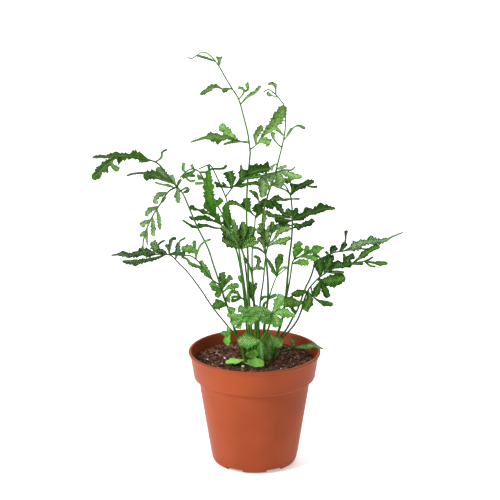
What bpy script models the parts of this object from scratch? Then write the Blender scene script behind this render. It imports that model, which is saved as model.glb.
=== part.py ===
"""Potted silver lace fern: a tapered plastic nursery pot, its soil, and the fern's fronds, each one solid.

The fronds are laid out on an upright sheet that stands square to a line of sight 17 degrees above the
table. A point is given in millimetres across the sheet, up the sheet, and back from the pot's axis.
"""
import math

import bmesh
import bpy
from mathutils import Vector, noise

MM = 0.001

# The pot: radii and heights of its outside, in millimetres.
RIM_RADIUS = 60.0
POT_HEIGHT = 106.0
BAND_TOP_RADIUS = 58.3
BAND_TOP = 103.0
BAND_FOOT_RADIUS = 55.0
BAND_FOOT = 82.0
NECK_RADIUS = 50.0
NECK = 78.8
BODY_FOOT_RADIUS = 39.4
BODY_FOOT = 8.8
FOOT_RADIUS = 34.0
BODY_TOP_RADIUS = 49.4
BODY_TOP = 71.0
INNER_LIP_RADIUS = 57.6
WALL = 1.6
FLOOR = 2.5
POT_STEPS = 36
SMOOTH_BELOW = math.radians(35)
DRAIN_SLOTS = 6
DRAIN_WIDTH = 17.0
DRAIN_HEIGHT = 3.5
DRAIN_DEPTH = 16.0
DRAIN_CENTRE = 35.0
DRAIN_FIRST_ANGLE = math.radians(-60)

# The soil, which fills the pot to below its rim and has one hole for each stem.
SOIL_TOP = 96.0
SOIL_GAP = 0.45
SOIL_RINGS = 4
SOIL_LUMP = 1.4
LUMPS_PER_METRE = 90
HOLE_FLOOR = 82.0
HOLE_DEPTH = 20.0
HOLE_GAP = 0.35
HOLE_SIDES = 6

# The sheet that the fronds are laid out on, and the eye that looks at it square.
EYE = Vector((-4.1, -2102.7, 847.9))
SIGHT_DROP = math.radians(17.1)
SHEET_DISTANCE = 2209.5
ACROSS = Vector((1, 0, 0))
UP = Vector((0, math.sin(SIGHT_DROP), math.cos(SIGHT_DROP)))
FORWARD = Vector((0, math.cos(SIGHT_DROP), -math.sin(SIGHT_DROP)))

# How the fronds spread to the front and the back, from the crown up.
CROWN_DEPTH = 2.0
SPREAD = 1.8
SPREAD_FOOT = -88.0
SPREAD_RISE = 150.0

# Leaves and stems: how thick a leaf is, its half width where it grows out, the share of its length that
# its blunt tip takes, how far its lobes point forward, and how its blade tilts.
BLADE = 0.7
STALK = 0.5
TIP = 0.12
LOBE_POINT = 0.5
LOBE_LIMIT = 0.3
STEM_STEP = 12.0
SEATS_PER_RUN = 12
CURVE_STEPS = 8
LEAN = 0.5
TURN = 0.3

TERRACOTTA = (0.42, 0.11, 0.045)
SOIL_BROWN = (0.07, 0.035, 0.02)
DARK_GREEN = (0.035, 0.12, 0.018)
MID_GREEN = (0.075, 0.23, 0.035)
BRIGHT_GREEN = (0.16, 0.38, 0.07)
SILVER_GREEN = (0.23, 0.38, 0.17)
PALE_GREEN = (0.30, 0.55, 0.13)

for old in list(bpy.data.objects):
    bpy.data.objects.remove(old)

holes = []


def finish(name, colour, roughness):
    """A Principled material of one colour."""
    material = bpy.data.materials.new(name)
    material.use_nodes = True
    shader = material.node_tree.nodes["Principled BSDF"]
    shader.inputs["Base Color"].default_value = (*colour, 1)
    shader.inputs["Roughness"].default_value = roughness
    shader.inputs["Metallic"].default_value = 0
    return material


def new_object(name, mesh_source, material=None):
    """An object in the scene, from a bmesh or a mesh."""
    mesh = mesh_source
    if isinstance(mesh_source, bmesh.types.BMesh):
        mesh = bpy.data.meshes.new(name)
        mesh_source.to_mesh(mesh)
        mesh_source.free()
    thing = bpy.data.objects.new(name, mesh)
    bpy.context.scene.collection.objects.link(thing)
    if material:
        mesh.materials.clear()
        mesh.materials.append(material)
    return thing


def evaluated_mesh(thing):
    """The mesh of an object with its modifiers or its bevel applied."""
    return bpy.data.meshes.new_from_object(thing.evaluated_get(bpy.context.evaluated_depsgraph_get()))


def combine(body, others, operation):
    """Joins or cuts the body with every other object at once, and removes the others."""
    group = bpy.data.collections.new(body.name + "_group")
    bpy.context.scene.collection.children.link(group)
    for other in others:
        bpy.context.scene.collection.objects.unlink(other)
        group.objects.link(other)
    cut = body.modifiers.new("combine", "BOOLEAN")
    cut.operation = operation
    cut.operand_type = "COLLECTION"
    cut.collection = group
    cut.solver = "EXACT"
    mesh = evaluated_mesh(body)
    body.modifiers.clear()
    body.data = mesh
    for other in others:
        bpy.data.objects.remove(other)
    bpy.data.collections.remove(group)


def turned(profile, steps):
    """A closed solid of revolution from a profile that starts and ends on the axis."""
    mesh = bmesh.new()
    points = [mesh.verts.new(Vector((radius, 0, height)) * MM) for radius, height in profile]
    edges = [mesh.edges.new(pair) for pair in zip(points, points[1:])]
    bmesh.ops.spin(mesh, geom=points + edges, axis=(0, 0, 1), cent=(0, 0, 0), angle=2 * math.pi,
                   steps=steps, use_merge=True)
    bmesh.ops.remove_doubles(mesh, verts=mesh.verts[:], dist=0.02 * MM)
    bmesh.ops.recalc_face_normals(mesh, faces=mesh.faces[:])
    return mesh


def make_pot():
    """The pot: foot, tapered body, neck, band and rounded lip, with drain slots round the foot."""
    outside = [(0, 0), (FOOT_RADIUS, 0), (37, 1.5), (38.7, 4.5), (BODY_FOOT_RADIUS, BODY_FOOT),
               (BODY_TOP_RADIUS, BODY_TOP), (NECK_RADIUS, NECK), (BAND_FOOT_RADIUS, BAND_FOOT),
               (BAND_TOP_RADIUS, BAND_TOP), (RIM_RADIUS - 0.3, 104), (RIM_RADIUS, 105.2),
               (RIM_RADIUS - 0.8, POT_HEIGHT)]
    inside = [(INNER_LIP_RADIUS, POT_HEIGHT), (BAND_TOP_RADIUS - WALL, BAND_TOP),
              (BAND_FOOT_RADIUS - WALL, BAND_FOOT + 1.2), (NECK_RADIUS - WALL, NECK + 1.2),
              (BODY_TOP_RADIUS - WALL, BODY_TOP), (BODY_FOOT_RADIUS - WALL, BODY_FOOT),
              (FOOT_RADIUS + 1, FLOOR), (0, FLOOR)]
    plastic = finish("terracotta plastic", TERRACOTTA, 0.45)
    pot = new_object("pot", turned(outside + inside, POT_STEPS), plastic)
    slots = []
    for number in range(DRAIN_SLOTS):
        angle = DRAIN_FIRST_ANGLE + number * 2 * math.pi / DRAIN_SLOTS
        slot = bmesh.new()
        bmesh.ops.create_cube(slot, size=1)
        size = Vector((DRAIN_DEPTH, DRAIN_WIDTH, 2 * DRAIN_HEIGHT))
        bmesh.ops.scale(slot, vec=size * MM, verts=slot.verts[:])
        bmesh.ops.translate(slot, vec=Vector((DRAIN_CENTRE, 0, 0)) * MM, verts=slot.verts[:])
        slots.append(new_object(f"slot_{number}", slot))
        slots[-1].rotation_euler.z = angle
    bpy.context.view_layer.update()
    combine(pot, slots, "DIFFERENCE")
    pot.data.shade_smooth()
    pot.data.set_sharp_from_angle(angle=SMOOTH_BELOW)


def make_soil():
    """The soil: it follows the pot's inside with a small gap, and its top is lumpy."""
    wall = [(FOOT_RADIUS, FLOOR), (BODY_FOOT_RADIUS - WALL, BODY_FOOT), (BODY_TOP_RADIUS - WALL, BODY_TOP),
            (NECK_RADIUS - WALL, NECK + 1.4), (BAND_FOOT_RADIUS - WALL, BAND_FOOT + 1.4),
            (BAND_FOOT_RADIUS - WALL + 1.9, SOIL_TOP - 1)]
    profile = [(0, FLOOR + SOIL_GAP)] + [(radius - SOIL_GAP, height + SOIL_GAP) for radius, height in wall]
    reach = profile[-1][0]
    profile += [(reach * (1 - ring / SOIL_RINGS), SOIL_TOP) for ring in range(1, SOIL_RINGS + 1)]
    mesh = turned(profile, POT_STEPS)
    for point in mesh.verts:
        radius = point.co.xy.length
        if point.co.z > (SOIL_TOP - 2) * MM and radius < (reach - 1) * MM:
            point.co.z += noise.noise(point.co * LUMPS_PER_METRE) * SOIL_LUMP * MM
    soil = new_object("soil", mesh, finish("potting soil", SOIL_BROWN, 0.95))
    cutters = []
    for number, (x, y, radius) in enumerate(holes):
        cutter = bmesh.new()
        bmesh.ops.create_cone(cutter, cap_ends=True, segments=HOLE_SIDES, radius1=radius * MM,
                              radius2=radius * MM, depth=HOLE_DEPTH * MM)
        middle = Vector((x, y, HOLE_FLOOR - HOLE_GAP + HOLE_DEPTH / 2))
        bmesh.ops.translate(cutter, vec=middle * MM, verts=cutter.verts[:])
        cutters.append(new_object(f"hole_{number}", cutter))
    combine(soil, cutters, "DIFFERENCE")


def place(across, up, back):
    """The point of space that is seen at this place on the sheet, this far behind the pot's axis."""
    ray = FORWARD * SHEET_DISTANCE + ACROSS * across + UP * up
    return EYE + ray * ((back - EYE.y) / ray.y)


def spread(up):
    """How many times further from the crown's depth a frond lies at this height on the sheet."""
    return 1 + SPREAD * min(1, max(0, (up - SPREAD_FOOT) / SPREAD_RISE))


def drawn_out(points):
    """Sheet points with their depths drawn out from the crown's, which leaves the plant round in plan."""
    return [Vector((across, up, CROWN_DEPTH + (back - CROWN_DEPTH) * spread(up)))
            for across, up, back in points]


def seen_at(point):
    """The place on the sheet, and the depth, of a point of space."""
    ray = point - EYE
    scale = SHEET_DISTANCE / ray.dot(FORWARD)
    return Vector((ray.dot(ACROSS) * scale, ray.dot(UP) * scale, point.y))


def seats_on(route):
    """Points close together on the straight runs between the given ones, for leaves to grow from."""
    steps = [number / SEATS_PER_RUN for number in range(SEATS_PER_RUN)]
    return [one.lerp(two, step) for one, two in zip(route, route[1:]) for step in steps] + route[-1:]


def smooth(points, shares=None, step=None):
    """Points along a smooth curve through the given ones, at shares of its length or at even steps."""
    points = [Vector(point) for point in points]
    ends = [2 * points[0] - points[1]] + points + [2 * points[-1] - points[-2]]
    dense = []
    for a, b, c, d in zip(ends, ends[1:], ends[2:], ends[3:]):
        for number in range(CURVE_STEPS):
            t = number / CURVE_STEPS
            dense.append(0.5 * (2 * b + (c - a) * t + (2 * a - 5 * b + 4 * c - d) * t ** 2
                                + (3 * b - a - 3 * c + d) * t ** 3))
    dense.append(points[-1])
    lengths = [0.0]
    for one, two in zip(dense, dense[1:]):
        lengths.append(lengths[-1] + (two - one).length)
    if shares is None:
        count = max(2, round(lengths[-1] / step))
        shares = [number / count for number in range(count + 1)]
    result = []
    place_in = 0
    for part_of in shares:
        target = lengths[-1] * part_of
        while place_in < len(dense) - 2 and lengths[place_in + 1] < target:
            place_in += 1
        span = lengths[place_in + 1] - lengths[place_in] or 1
        share = min(1, (target - lengths[place_in]) / span)
        result.append(dense[place_in].lerp(dense[place_in + 1], share))
    return result


def tube(name, points, start_radius, end_radius):
    """A four-sided stem that thins from its start to its end, through points in space."""
    curve = bpy.data.curves.new(name, "CURVE")
    curve.dimensions = "3D"
    curve.bevel_depth = MM
    curve.bevel_resolution = 0
    curve.use_fill_caps = True
    spline = curve.splines.new("POLY")
    spline.points.add(len(points) - 1)
    for number, point in enumerate(points):
        share = number / (len(points) - 1)
        spline.points[number].co = (*(point * MM), 1)
        spline.points[number].radius = start_radius + (end_radius - start_radius) * share
    guide = new_object(name + "_guide", curve)
    bpy.context.view_layer.update()
    mesh = bmesh.new()
    mesh.from_mesh(evaluated_mesh(guide))
    bpy.data.objects.remove(guide)
    bmesh.ops.remove_doubles(mesh, verts=mesh.verts[:], dist=0.01 * MM)
    bmesh.ops.recalc_face_normals(mesh, faces=mesh.faces[:])
    return new_object(name, mesh)


def forward(widths, number, before, after):
    """How far a lobe's edge points towards the tip: wide places lead, and narrow ones hang back."""
    stations = [STALK, *widths, 0]
    lead = LOBE_POINT * (stations[number] - (stations[number - 1] + stations[number + 1]) / 2)
    return max(-LOBE_LIMIT * before, min(LOBE_LIMIT * after, lead))


def blade(name, path, start_back, reach, left, right, lean):
    """A leaf: a thin strip along its rib, whose half widths on either side give its cut edge.

    Returns the leaf and the points of its rib, with their depth, which other leaflets may grow from.
    """
    count = len(left) + 1
    shares = [(1 - TIP) * number / len(left) for number in range(count)] + [1]
    rib = smooth([(across, up, 0) for across, up in path], shares)
    mesh = bmesh.new()
    rows = []
    spine = []
    for number, point in enumerate(rib):
        ahead = rib[min(number + 1, count)] - rib[max(number - 1, 0)]
        ahead.normalize()
        side = Vector((-ahead.y, ahead.x, 0))
        back = start_back + reach * spread(point.y) * shares[number]
        spine.append(Vector((point.x, point.y, back)))
        if number == 0:
            shifts = (side * STALK, side * -STALK)
        elif number < count:
            before = (point - rib[number - 1]).length
            after = (rib[number + 1] - point).length
            shifts = (side * left[number - 1] + ahead * forward(left, number, before, after),
                      side * -right[number - 1] + ahead * forward(right, number, before, after))
        else:
            shifts = (Vector((0, 0, 0)),)
        row = []
        for shift in shifts:
            depth = back + lean * shift.y + math.copysign(TURN, point.x) * shift.x
            row.append(mesh.verts.new(place(point.x + shift.x, point.y + shift.y, depth) * MM))
        rows.append(row)
    for one, two in zip(rows, rows[1:]):
        mesh.faces.new(one + two[::-1])
    bmesh.ops.triangulate(mesh, faces=mesh.faces[:])
    mesh.normal_update()
    bmesh.ops.solidify(mesh, geom=mesh.faces[:], thickness=BLADE * MM)
    bmesh.ops.recalc_face_normals(mesh, faces=mesh.faces[:])
    return new_object(name, mesh), spine


def drop_scraps(body):
    """Keeps only the biggest of the separate pieces that a union has left in a mesh."""
    mesh = bmesh.new()
    mesh.from_mesh(body.data)
    left = set(mesh.verts)
    pieces = []
    while left:
        piece = {left.pop()}
        edge_of_piece = list(piece)
        while edge_of_piece:
            point = edge_of_piece.pop()
            for edge in point.link_edges:
                other = edge.other_vert(point)
                if other in left:
                    left.remove(other)
                    piece.add(other)
                    edge_of_piece.append(other)
        pieces.append(piece)
    pieces.sort(key=len)
    scraps = [point for piece in pieces[:-1] for point in piece]
    bmesh.ops.delete(mesh, geom=scraps, context="VERTS")
    mesh.to_mesh(body.data)
    mesh.free()


def frond(name, foot, stem, radii, leaves, colour=MID_GREEN, twigs=(), lean=LEAN):
    """One frond: its stem stands in the soil at foot, and its twigs and leaves are fused to it.

    foot is x and y in the soil; stem and twigs are lists of sheet points with their depth; a leaf is its
    rib's path on the sheet, how far back its tip reaches, and its half widths left and right of the rib.
    """
    x, y = foot
    route = smooth([seen_at(Vector((x, y, SOIL_TOP + 2))), *drawn_out(stem)], step=STEM_STEP)
    buried = Vector((x, y, HOLE_FLOOR))
    body = tube(name, [buried] + [place(*point) for point in route], radii[0], radii[1])
    holes.append((x, y, radii[0] + 3 * HOLE_GAP))
    seats = seats_on(route)
    others = []
    for number, (points, start_radius, end_radius) in enumerate(twigs):
        route = smooth(drawn_out(points), step=STEM_STEP)
        points = [place(*point) for point in route]
        others.append(tube(f"{name}_twig_{number}", points, start_radius, end_radius))
        seats += seats_on(route)
    for number, (path, reach, left, *rest) in enumerate(leaves):
        right = rest[0] if rest else left
        seat = min(seats, key=lambda spot: (spot.x - path[0][0]) ** 2 + (spot.y - path[0][1]) ** 2)
        route = [(seat.x, seat.y), *path[1:]]
        leaf, spine = blade(f"{name}_leaf_{number}", route, seat.z, reach, left, right, lean)
        others.append(leaf)
        seats += seats_on(spine)
    combine(body, others, "UNION")
    drop_scraps(body)
    body.data.materials.clear()
    body.data.materials.append(finish(name, colour, 0.5))


def make_fronds():
    """Every frond, from the tallest to the seedlings at the crown."""
    frond("frond_tall_left", (0, 6),
          [(1, -70, 6), (-1, -40, 7), (-2, -5, 8), (-3, 24, 9), (-3, 44, 10), (-2, 64, 11), (0, 85, 12),
           (0, 90, 12),
           (-2, 105, 13), (-5, 117, 14), (-10, 135, 16), (-16, 145, 17), (-22, 155, 18), (-29, 167, 19),
           (-37, 176, 20),
           (-43, 178, 21), (-48, 175, 22), (-53, 172, 23), (-56, 174, 24)], (1.0, 0.35), [
              ([(-31, 169), (-40, 173), (-48, 175)], -6, (1, 1.2, 1)),
              ([(-28, 166), (-28, 174)], 5, (1, 2.2), (2, 3)),
              ([(-16, 145), (-19, 145), (-25, 143)], -4, (0.5, 2, 2)),
              ([(-23, 145), (-31, 147), (-38, 144), (-45, 140)], -9, (0.8, 1.5, 2.5, 2),
               (1, 2.8, 2.5, 1.5)),
              ([(-10, 136), (-6, 141), (-6, 145), (-11, 146)], 5, (0.6, 1, 1.5)),
              ([(-6, 142), (-2, 145), (-4, 150)], 9, (1, 1), (1.5, 2.5)),
              ([(-9, 131), (-2, 138), (5, 142), (10, 148)], 3, (1, 2.2, 1.8), (1, 1.2, 1)),
              ([(-4, 98), (-11, 98), (-19, 104), (-24, 109), (-28, 112)], 8, (0.5, 1.5, 3.5, 3),
               (0.5, 3, 4.5, 3.5)),
              ([(-1, 96), (-11, 98), (-22, 101), (-34, 102), (-44, 100), (-54, 97)], -12,
               (0.5, 1, 1, 6, 4.5, 1.2, 1), (0.5, 1.5, 2.5, 2, 4, 1.5, 1)),
              ([(-8, 97), (-17, 97), (-24, 95)], -6, (1, 1.3, 1)),
              ([(0, 90), (6, 95), (13, 104), (20, 112), (26, 121), (31, 130)], 14,
               (0.5, 2, 3.5, 5, 4), (0.5, 1, 2.5, 6, 4.5)),
              ([(5, 95), (5, 103), (11, 112)], 8, (2, 2.5), (3, 3)),
              ([(12, 103), (21, 109), (26, 107), (30, 103)], -6, (2, 2.5, 1), (1.5, 1.5, 0.8)),
              ([(5, 95), (12, 98), (18, 95)], -5, (1.5, 3.5, 4), (1, 2, 3)),
          ])
    frond("frond_tall_right", (8, 10),
          [(13, -70, 10), (16, -44, 10), (16, -27, 10), (14, -4, 9), (12, 8, 9), (11, 22, 9), (12, 34, 9),
           (16, 49, 9),
           (19, 58, 9), (22, 66, 8), (24, 74, 8), (28, 90, 8), (31, 104, 7), (32, 116, 6), (31, 129, 5),
           (28, 134, 5),
           (24, 139, 4), (18, 144, 3), (15, 144, 2), (12, 142, 1)], (1.0, 0.35), [
              ([(23, 140), (23, 147), (20, 150), (16, 149)], -3, (0.6, 1.6, 1.2)),
              ([(25, 138), (20, 139), (16, 140), (17, 143)], 4, (0.5, 1.2, 1)),
              ([(28, 92), (22, 99), (20, 106)], -6, (0.5, 0.6, 2.2)),
              ([(30, 99), (33, 102), (36, 107), (39, 110), (44, 112),
               (50, 109)], 6, (0.5, 1.3, 1.3, 0.5, 1, 1.4)),
              ([(23, 70), (17, 68), (12, 64), (11, 56), (11, 47)], -14, (1, 3, 6, 6.5, 3.5),
               (1, 3, 4, 3.5, 2.5)),
              ([(24, 71), (27, 64), (26, 56)], -11, (2.5, 4, 3), (3, 5, 4)),
              ([(24, 70), (33, 69), (40, 67), (47, 66)], -8, (1, 2, 2.5, 1.5), (1, 3.5, 4.5, 2.5)),
              ([(23, 68), (31, 63), (37, 63)], 6, (1.5, 2.5), (2.5, 3)),
              ([(24, 73), (28, 74), (33, 76)], -3, (1.6, 1.3)),
              ([(24, 71), (31, 72), (37, 72), (41, 75)], 4, (0.8, 0.8, 0.7)),
              ([(24, 70), (20, 66), (18, 61)], -12, (2, 3, 2)),
              ([(25, 78), (21, 76), (18, 72)], 5, (1, 2)),
              ([(12, 20), (13, 28), (13, 36)], -2, (1.4, 1.8, 1.5)),
          ], SILVER_GREEN)
    frond("frond_high_left", (-9, 6),
          [(-11, -80, 5), (-15, -69, 3), (-20, -52, 1), (-25, -37, -1), (-33, -13, -6), (-38, 2, -10),
           (-47, 20, -17),
           (-54, 36, -23), (-60, 50, -29), (-66, 57, -33)], (0.7, 0.55), [
              ([(-66, 59), (-71, 68)], 5, (2.2, 2), (1.8, 1.5)),
              ([(-65, 58), (-65, 50), (-64, 42)], -6, (2, 2.2, 1.5), (2, 3, 2)),
              ([(-62, 54), (-57, 56), (-56, 53), (-60, 52)], -4, (0.8, 1.4, 1.2)),
              ([(-66, 57), (-62, 64)], 4, (1.5, 1.2)),
              ([(-91, 82), (-105, 84), (-118, 85), (-130, 84), (-142, 83)], -6,
               (2, 2, 3, 7, 2, 1.5, 1), (4, 5.5, 2.5, 2.5, 3, 1.5, 2)),
              ([(-118, 84), (-128, 78), (-134, 72), (-142, 64)], -14, (1, 2.5, 6, 3, 4), (1.5, 3, 4, 4, 2.5)),
              ([(-125, 80), (-123, 75), (-118, 72)], -10, (2, 2.4)),
              ([(-89, 81), (-95, 80), (-100, 80)], -3, (1.2, 1.4)),
              ([(-85, 79), (-80, 83), (-79, 88), (-74, 91)], 5, (0.8, 1, 0.8)),
              ([(-69, 60), (-76, 66), (-84, 74)], -5, (1, 2, 3, 3), (1, 3, 3.5, 3)),
              ([(-68, 59), (-80, 64), (-88, 67), (-96, 66)], -9, (1, 1.2, 3, 3.5), (1, 2, 4.5, 4)),
              ([(-86, 66), (-94, 69), (-103, 69), (-111, 67)], -9, (1, 1, 0.9)),
              ([(-68, 57), (-73, 58), (-79, 59), (-86, 61)], 3, (1.3, 0.8, 0.9)),
              ([(-74, 52), (-81, 50), (-85, 46), (-84, 41)], -4, (2.5, 2.2, 2), (2, 2.2, 2)),
              ([(-79, 42), (-76, 48)], 3, (1.6, 1.3)),
              ([(-82, 39), (-88, 37), (-92, 34), (-93, 30)], -5, (1.8, 2.3, 1.8)),
              ([(-89, 27), (-94, 25), (-98, 21)], -3, (2, 2.5)),
              ([(-84, 37), (-82, 28), (-81, 18)], 3, (1.6, 1.9, 1.4)),
              ([(-88, 30), (-87, 20), (-87, 12)], 2, (1.8, 2.2, 2)),
              ([(-94, 18), (-99, 12)], -3, (1.8, 1.4)),
              ([(-93, 19), (-93, 11), (-92, 4)], 3, (1.4, 0.8)),
          ], MID_GREEN, [
              ([(-65, 56, -33), (-72, 64, -35), (-80, 75, -38), (-85, 79, -39), (-93, 82, -41)], 0.6, 0.5),
              ([(-65, 57, -33), (-73, 53, -36), (-79, 44, -38), (-85, 35, -40), (-90, 26, -41),
               (-94, 16, -42),
                (-96, 8, -42), (-96, 1, -43), (-93, -7, -43)], 0.6, 0.4),
          ])
    frond("frond_arched", (-4, -2),
          [(-1, -70, -5), (-4, -40, -12), (-8, -13, -18), (-11, 4, -21), (-19, 22, -22), (-28, 38, -23),
           (-36, 53, -24),
           (-44, 68, -25), (-48, 72, -25), (-53, 73, -26), (-58, 70, -26), (-63, 65, -26)], (0.8, 0.45), [
              ([(-57, 70), (-60, 72), (-60, 79)], 4, (1.5, 1), (1.5, 1.5)),
              ([(-50, 73), (-53, 77)], 3, (1.2, 1.5)),
              ([(-49, 72), (-55, 68), (-61, 65)], -5, (1.5, 2, 1.5)),
              ([(-59, 69), (-54, 67), (-49, 67)], 3, (1.2, 1.2)),
              ([(-60, 67), (-54, 62), (-49, 63)], -3, (0.9, 1)),
              ([(-40, 60), (-45, 60), (-50, 60)], 4, (1.2, 1.3)),
              ([(-42, 65), (-47, 64)], -3, (1.2, 1)),
              ([(-5, -32), (-8, -28), (-10, -23)], -3, (1.3, 1.6)),
              ([(-4, -46), (-9, -42), (-12, -38), (-17, -38), (-19, -42)], -6, (0.6, 1.2, 1.8, 1.6)),
              ([(-8, -43), (-12, -45), (-17, -46)], -7, (1.2, 1.6)),
              ([(-18, -39), (-20, -43), (-18, -48)], -2, (1.8, 2.2, 0.8)),
              ([(-9, -43), (-13, -42), (-17, -43)], -4, (1.2, 1.3)),
              ([(-41, 62), (-45, 66), (-48, 67)], 3, (1.2, 1.4)),
          ], BRIGHT_GREEN)
    frond("frond_dark_centre", (-4, 11),
          [(0, -70, 11), (-2, -40, 10.5), (-3, -25, 9.5), (-6, -4, 5), (-13, 14, 3), (-18, 32, 2),
           (-21, 45, 2),
           (-25, 55, 2), (-30, 66, 2),
           (-34, 74, 2), (-36, 77, 2), (-39, 76, 1), (-46, 73, 0)], (0.7, 0.4), [
              ([(-16, 55), (-17, 63), (-19, 71)], 4, (2, 4.5, 4.5), (2.8, 4.5, 3.9)),
              ([(-16, 56), (-23, 57), (-31, 58)], -3, (0.9, 1.5)),
              ([(-21, 57), (-25, 61)], -4, (1.3, 1.1)),
              ([(-24, 57), (-32, 61)], -4, (1.3, 1.2)),
              ([(-14, 58), (-8, 65), (-8, 77)], 3, (1.1, 2.8, 1.1), (3.4, 5, 1.3)),
              ([(-8, 63), (0, 69), (9, 72), (18, 73)], 2, (2.8, 4.5, 7.8, 4.5, 5.6),
               (1.1, 2.8, 3.4, 3.4, 2.8)),
              ([(-9, 63), (-1, 65), (11, 67)], -3, (1.1, 1.8, 1.8)),
              ([(-14, 57), (-8, 58), (1, 60), (11, 60)], 1, (2, 1.3, 1.8, 2)),
          ], DARK_GREEN, [([(-22, 48, 2), (-19, 52, 2), (-15, 57, 2), (-8, 63, 3)], 0.5, 0.4)])
    frond("frond_bright", (-6, 3),
          [(-3, -70, 1), (-7, -27, -1), (-12, -1, -3), (-18, 10, -5), (-25, 21, -7),
           (-31, 31, -9)], (0.8, 0.6), [
              ([(-31, 29), (-36, 44), (-37, 58), (-38, 72)], -3, (3, 5, 4.5, 4.5, 2.5), (3, 5, 4.5, 4, 3)),
              ([(-32, 37), (-29, 42), (-25, 46)], -2, (2, 2.5), (2, 2.5)),
              ([(-38, 70), (-34, 73), (-28, 73), (-23, 74), (-21, 77)], 4, (0.8, 0.9, 1, 1.3)),
              ([(-37, 71), (-37, 77)], -2, (1.2, 1.3)),
              ([(-39, 70), (-45, 70)], 3, (0.9, 0.9)),
              ([(-31, 27), (-38, 33), (-46, 36), (-50, 37), (-54, 40)], -5, (0.8, 0.8, 2.6, 0.7, 2.2),
               (0.8, 0.8, 2.2, 0.7, 2.2)),
              ([(-27, 23), (-35, 27), (-43, 29), (-50, 28), (-55, 30)], -7, (0.8, 2, 2.2, 1.4),
               (0.8, 2.5, 2.5, 1.2)),
              ([(-24, 20), (-32, 20), (-39, 22), (-50, 21), (-61, 27)], -6, (0.8, 1.2, 1.5, 1.5, 1),
               (0.8, 1, 3, 1, 1)),
              ([(-17, 12), (-20, 28), (-21, 43)], 4, (2, 5, 5, 3), (2, 3, 3, 2)),
              ([(-26, 22), (-29, 27), (-30, 33)], 3, (2.5, 3), (3, 2.5)),
              ([(-31, 30), (-36, 35), (-41, 42)], -4, (1.5, 2.5)),
          ], BRIGHT_GREEN)
    frond("frond_silver_centre", (1, -2),
          [(5, -70, -4), (3, -40, -7), (2, -24, -8), (-1, -13, -9), (-5, -6, -10),
           (-8, 2, -11)], (1.1, 0.7), [
              ([(-8, 1), (-16, 10), (-25, 22)], -4, (3.3, 4.4, 5.5, 2.8), (2.2, 2.8, 3.3, 2.2)),
              ([(-8, 1), (-17, 5), (-25, 10)], -6, (1.7, 3.3, 2.2), (2.2, 3.3, 2.2)),
              ([(-8, 1), (-13, 15), (-15, 28)], 1, (2.2, 3.9, 2.2, 3.3), (2.2, 3.3, 3.9, 1.7)),
              ([(-8, 1), (-7, 14), (-6, 26)], 3, (2.2, 3.9, 4.4, 2.2)),
              ([(-8, 1), (-2, 11), (3, 21)], 2, (2.2, 3.3, 3.9)),
              ([(-8, 1), (-1, 8), (5, 12)], -2, (2.2, 2.8, 2.2)),
              ([(-8, 1), (0, 5), (8, 7)], -5, (1.7, 3.3, 2.2), (1.7, 2.2, 1.3)),
              ([(2, -20), (6, -15), (8, -10), (6, -6), (3, -6)], -4, (0.7, 1.5, 2, 1.3)),
              ([(1, -18), (7, -16), (13, -17)], -3, (1.4, 1.8, 1.1)),
              ([(0, -15), (-3, -11), (-6, -8)], -3, (1, 0.7)),
              ([(4, -48), (1, -38), (0, -28)], 3, (1.7, 2, 1.4)),
              ([(4, -42), (4, -35), (6, -29)], 3, (1.1, 1.8, 1.3)),
          ], SILVER_GREEN)
    frond("frond_centre", (3, 13),
          [(7, -70, 13), (3, -40, 15), (2, -20, 16), (2, 0, 17), (4, 18, 18), (5, 30, 18), (8, 36, 19),
           (8, 45, 19)],
          (0.8, 0.4), [
              ([(5, 30), (0, 34), (-5, 37), (-11, 41), (-20, 43)], 3, (0.6, 0.7, 1.1, 1.7),
               (0.6, 0.7, 2.1, 2.9)),
              ([(3, 31), (-2, 38), (-4, 47)], 6, (1.1, 4, 3.4), (1.1, 4.6, 4)),
              ([(5, 28), (8, 33), (7, 42)], -4, (0.9, 5.8, 4.6), (0.9, 4, 5.8)),
              ([(8, 44), (5, 50), (-1, 54)], 2, (2.1, 1.1)),
              ([(8, 43), (14, 43), (22, 39)], 4, (2.9, 4.6, 3.4), (2.3, 4, 3.4)),
          ], MID_GREEN, lean=-0.4)
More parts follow.
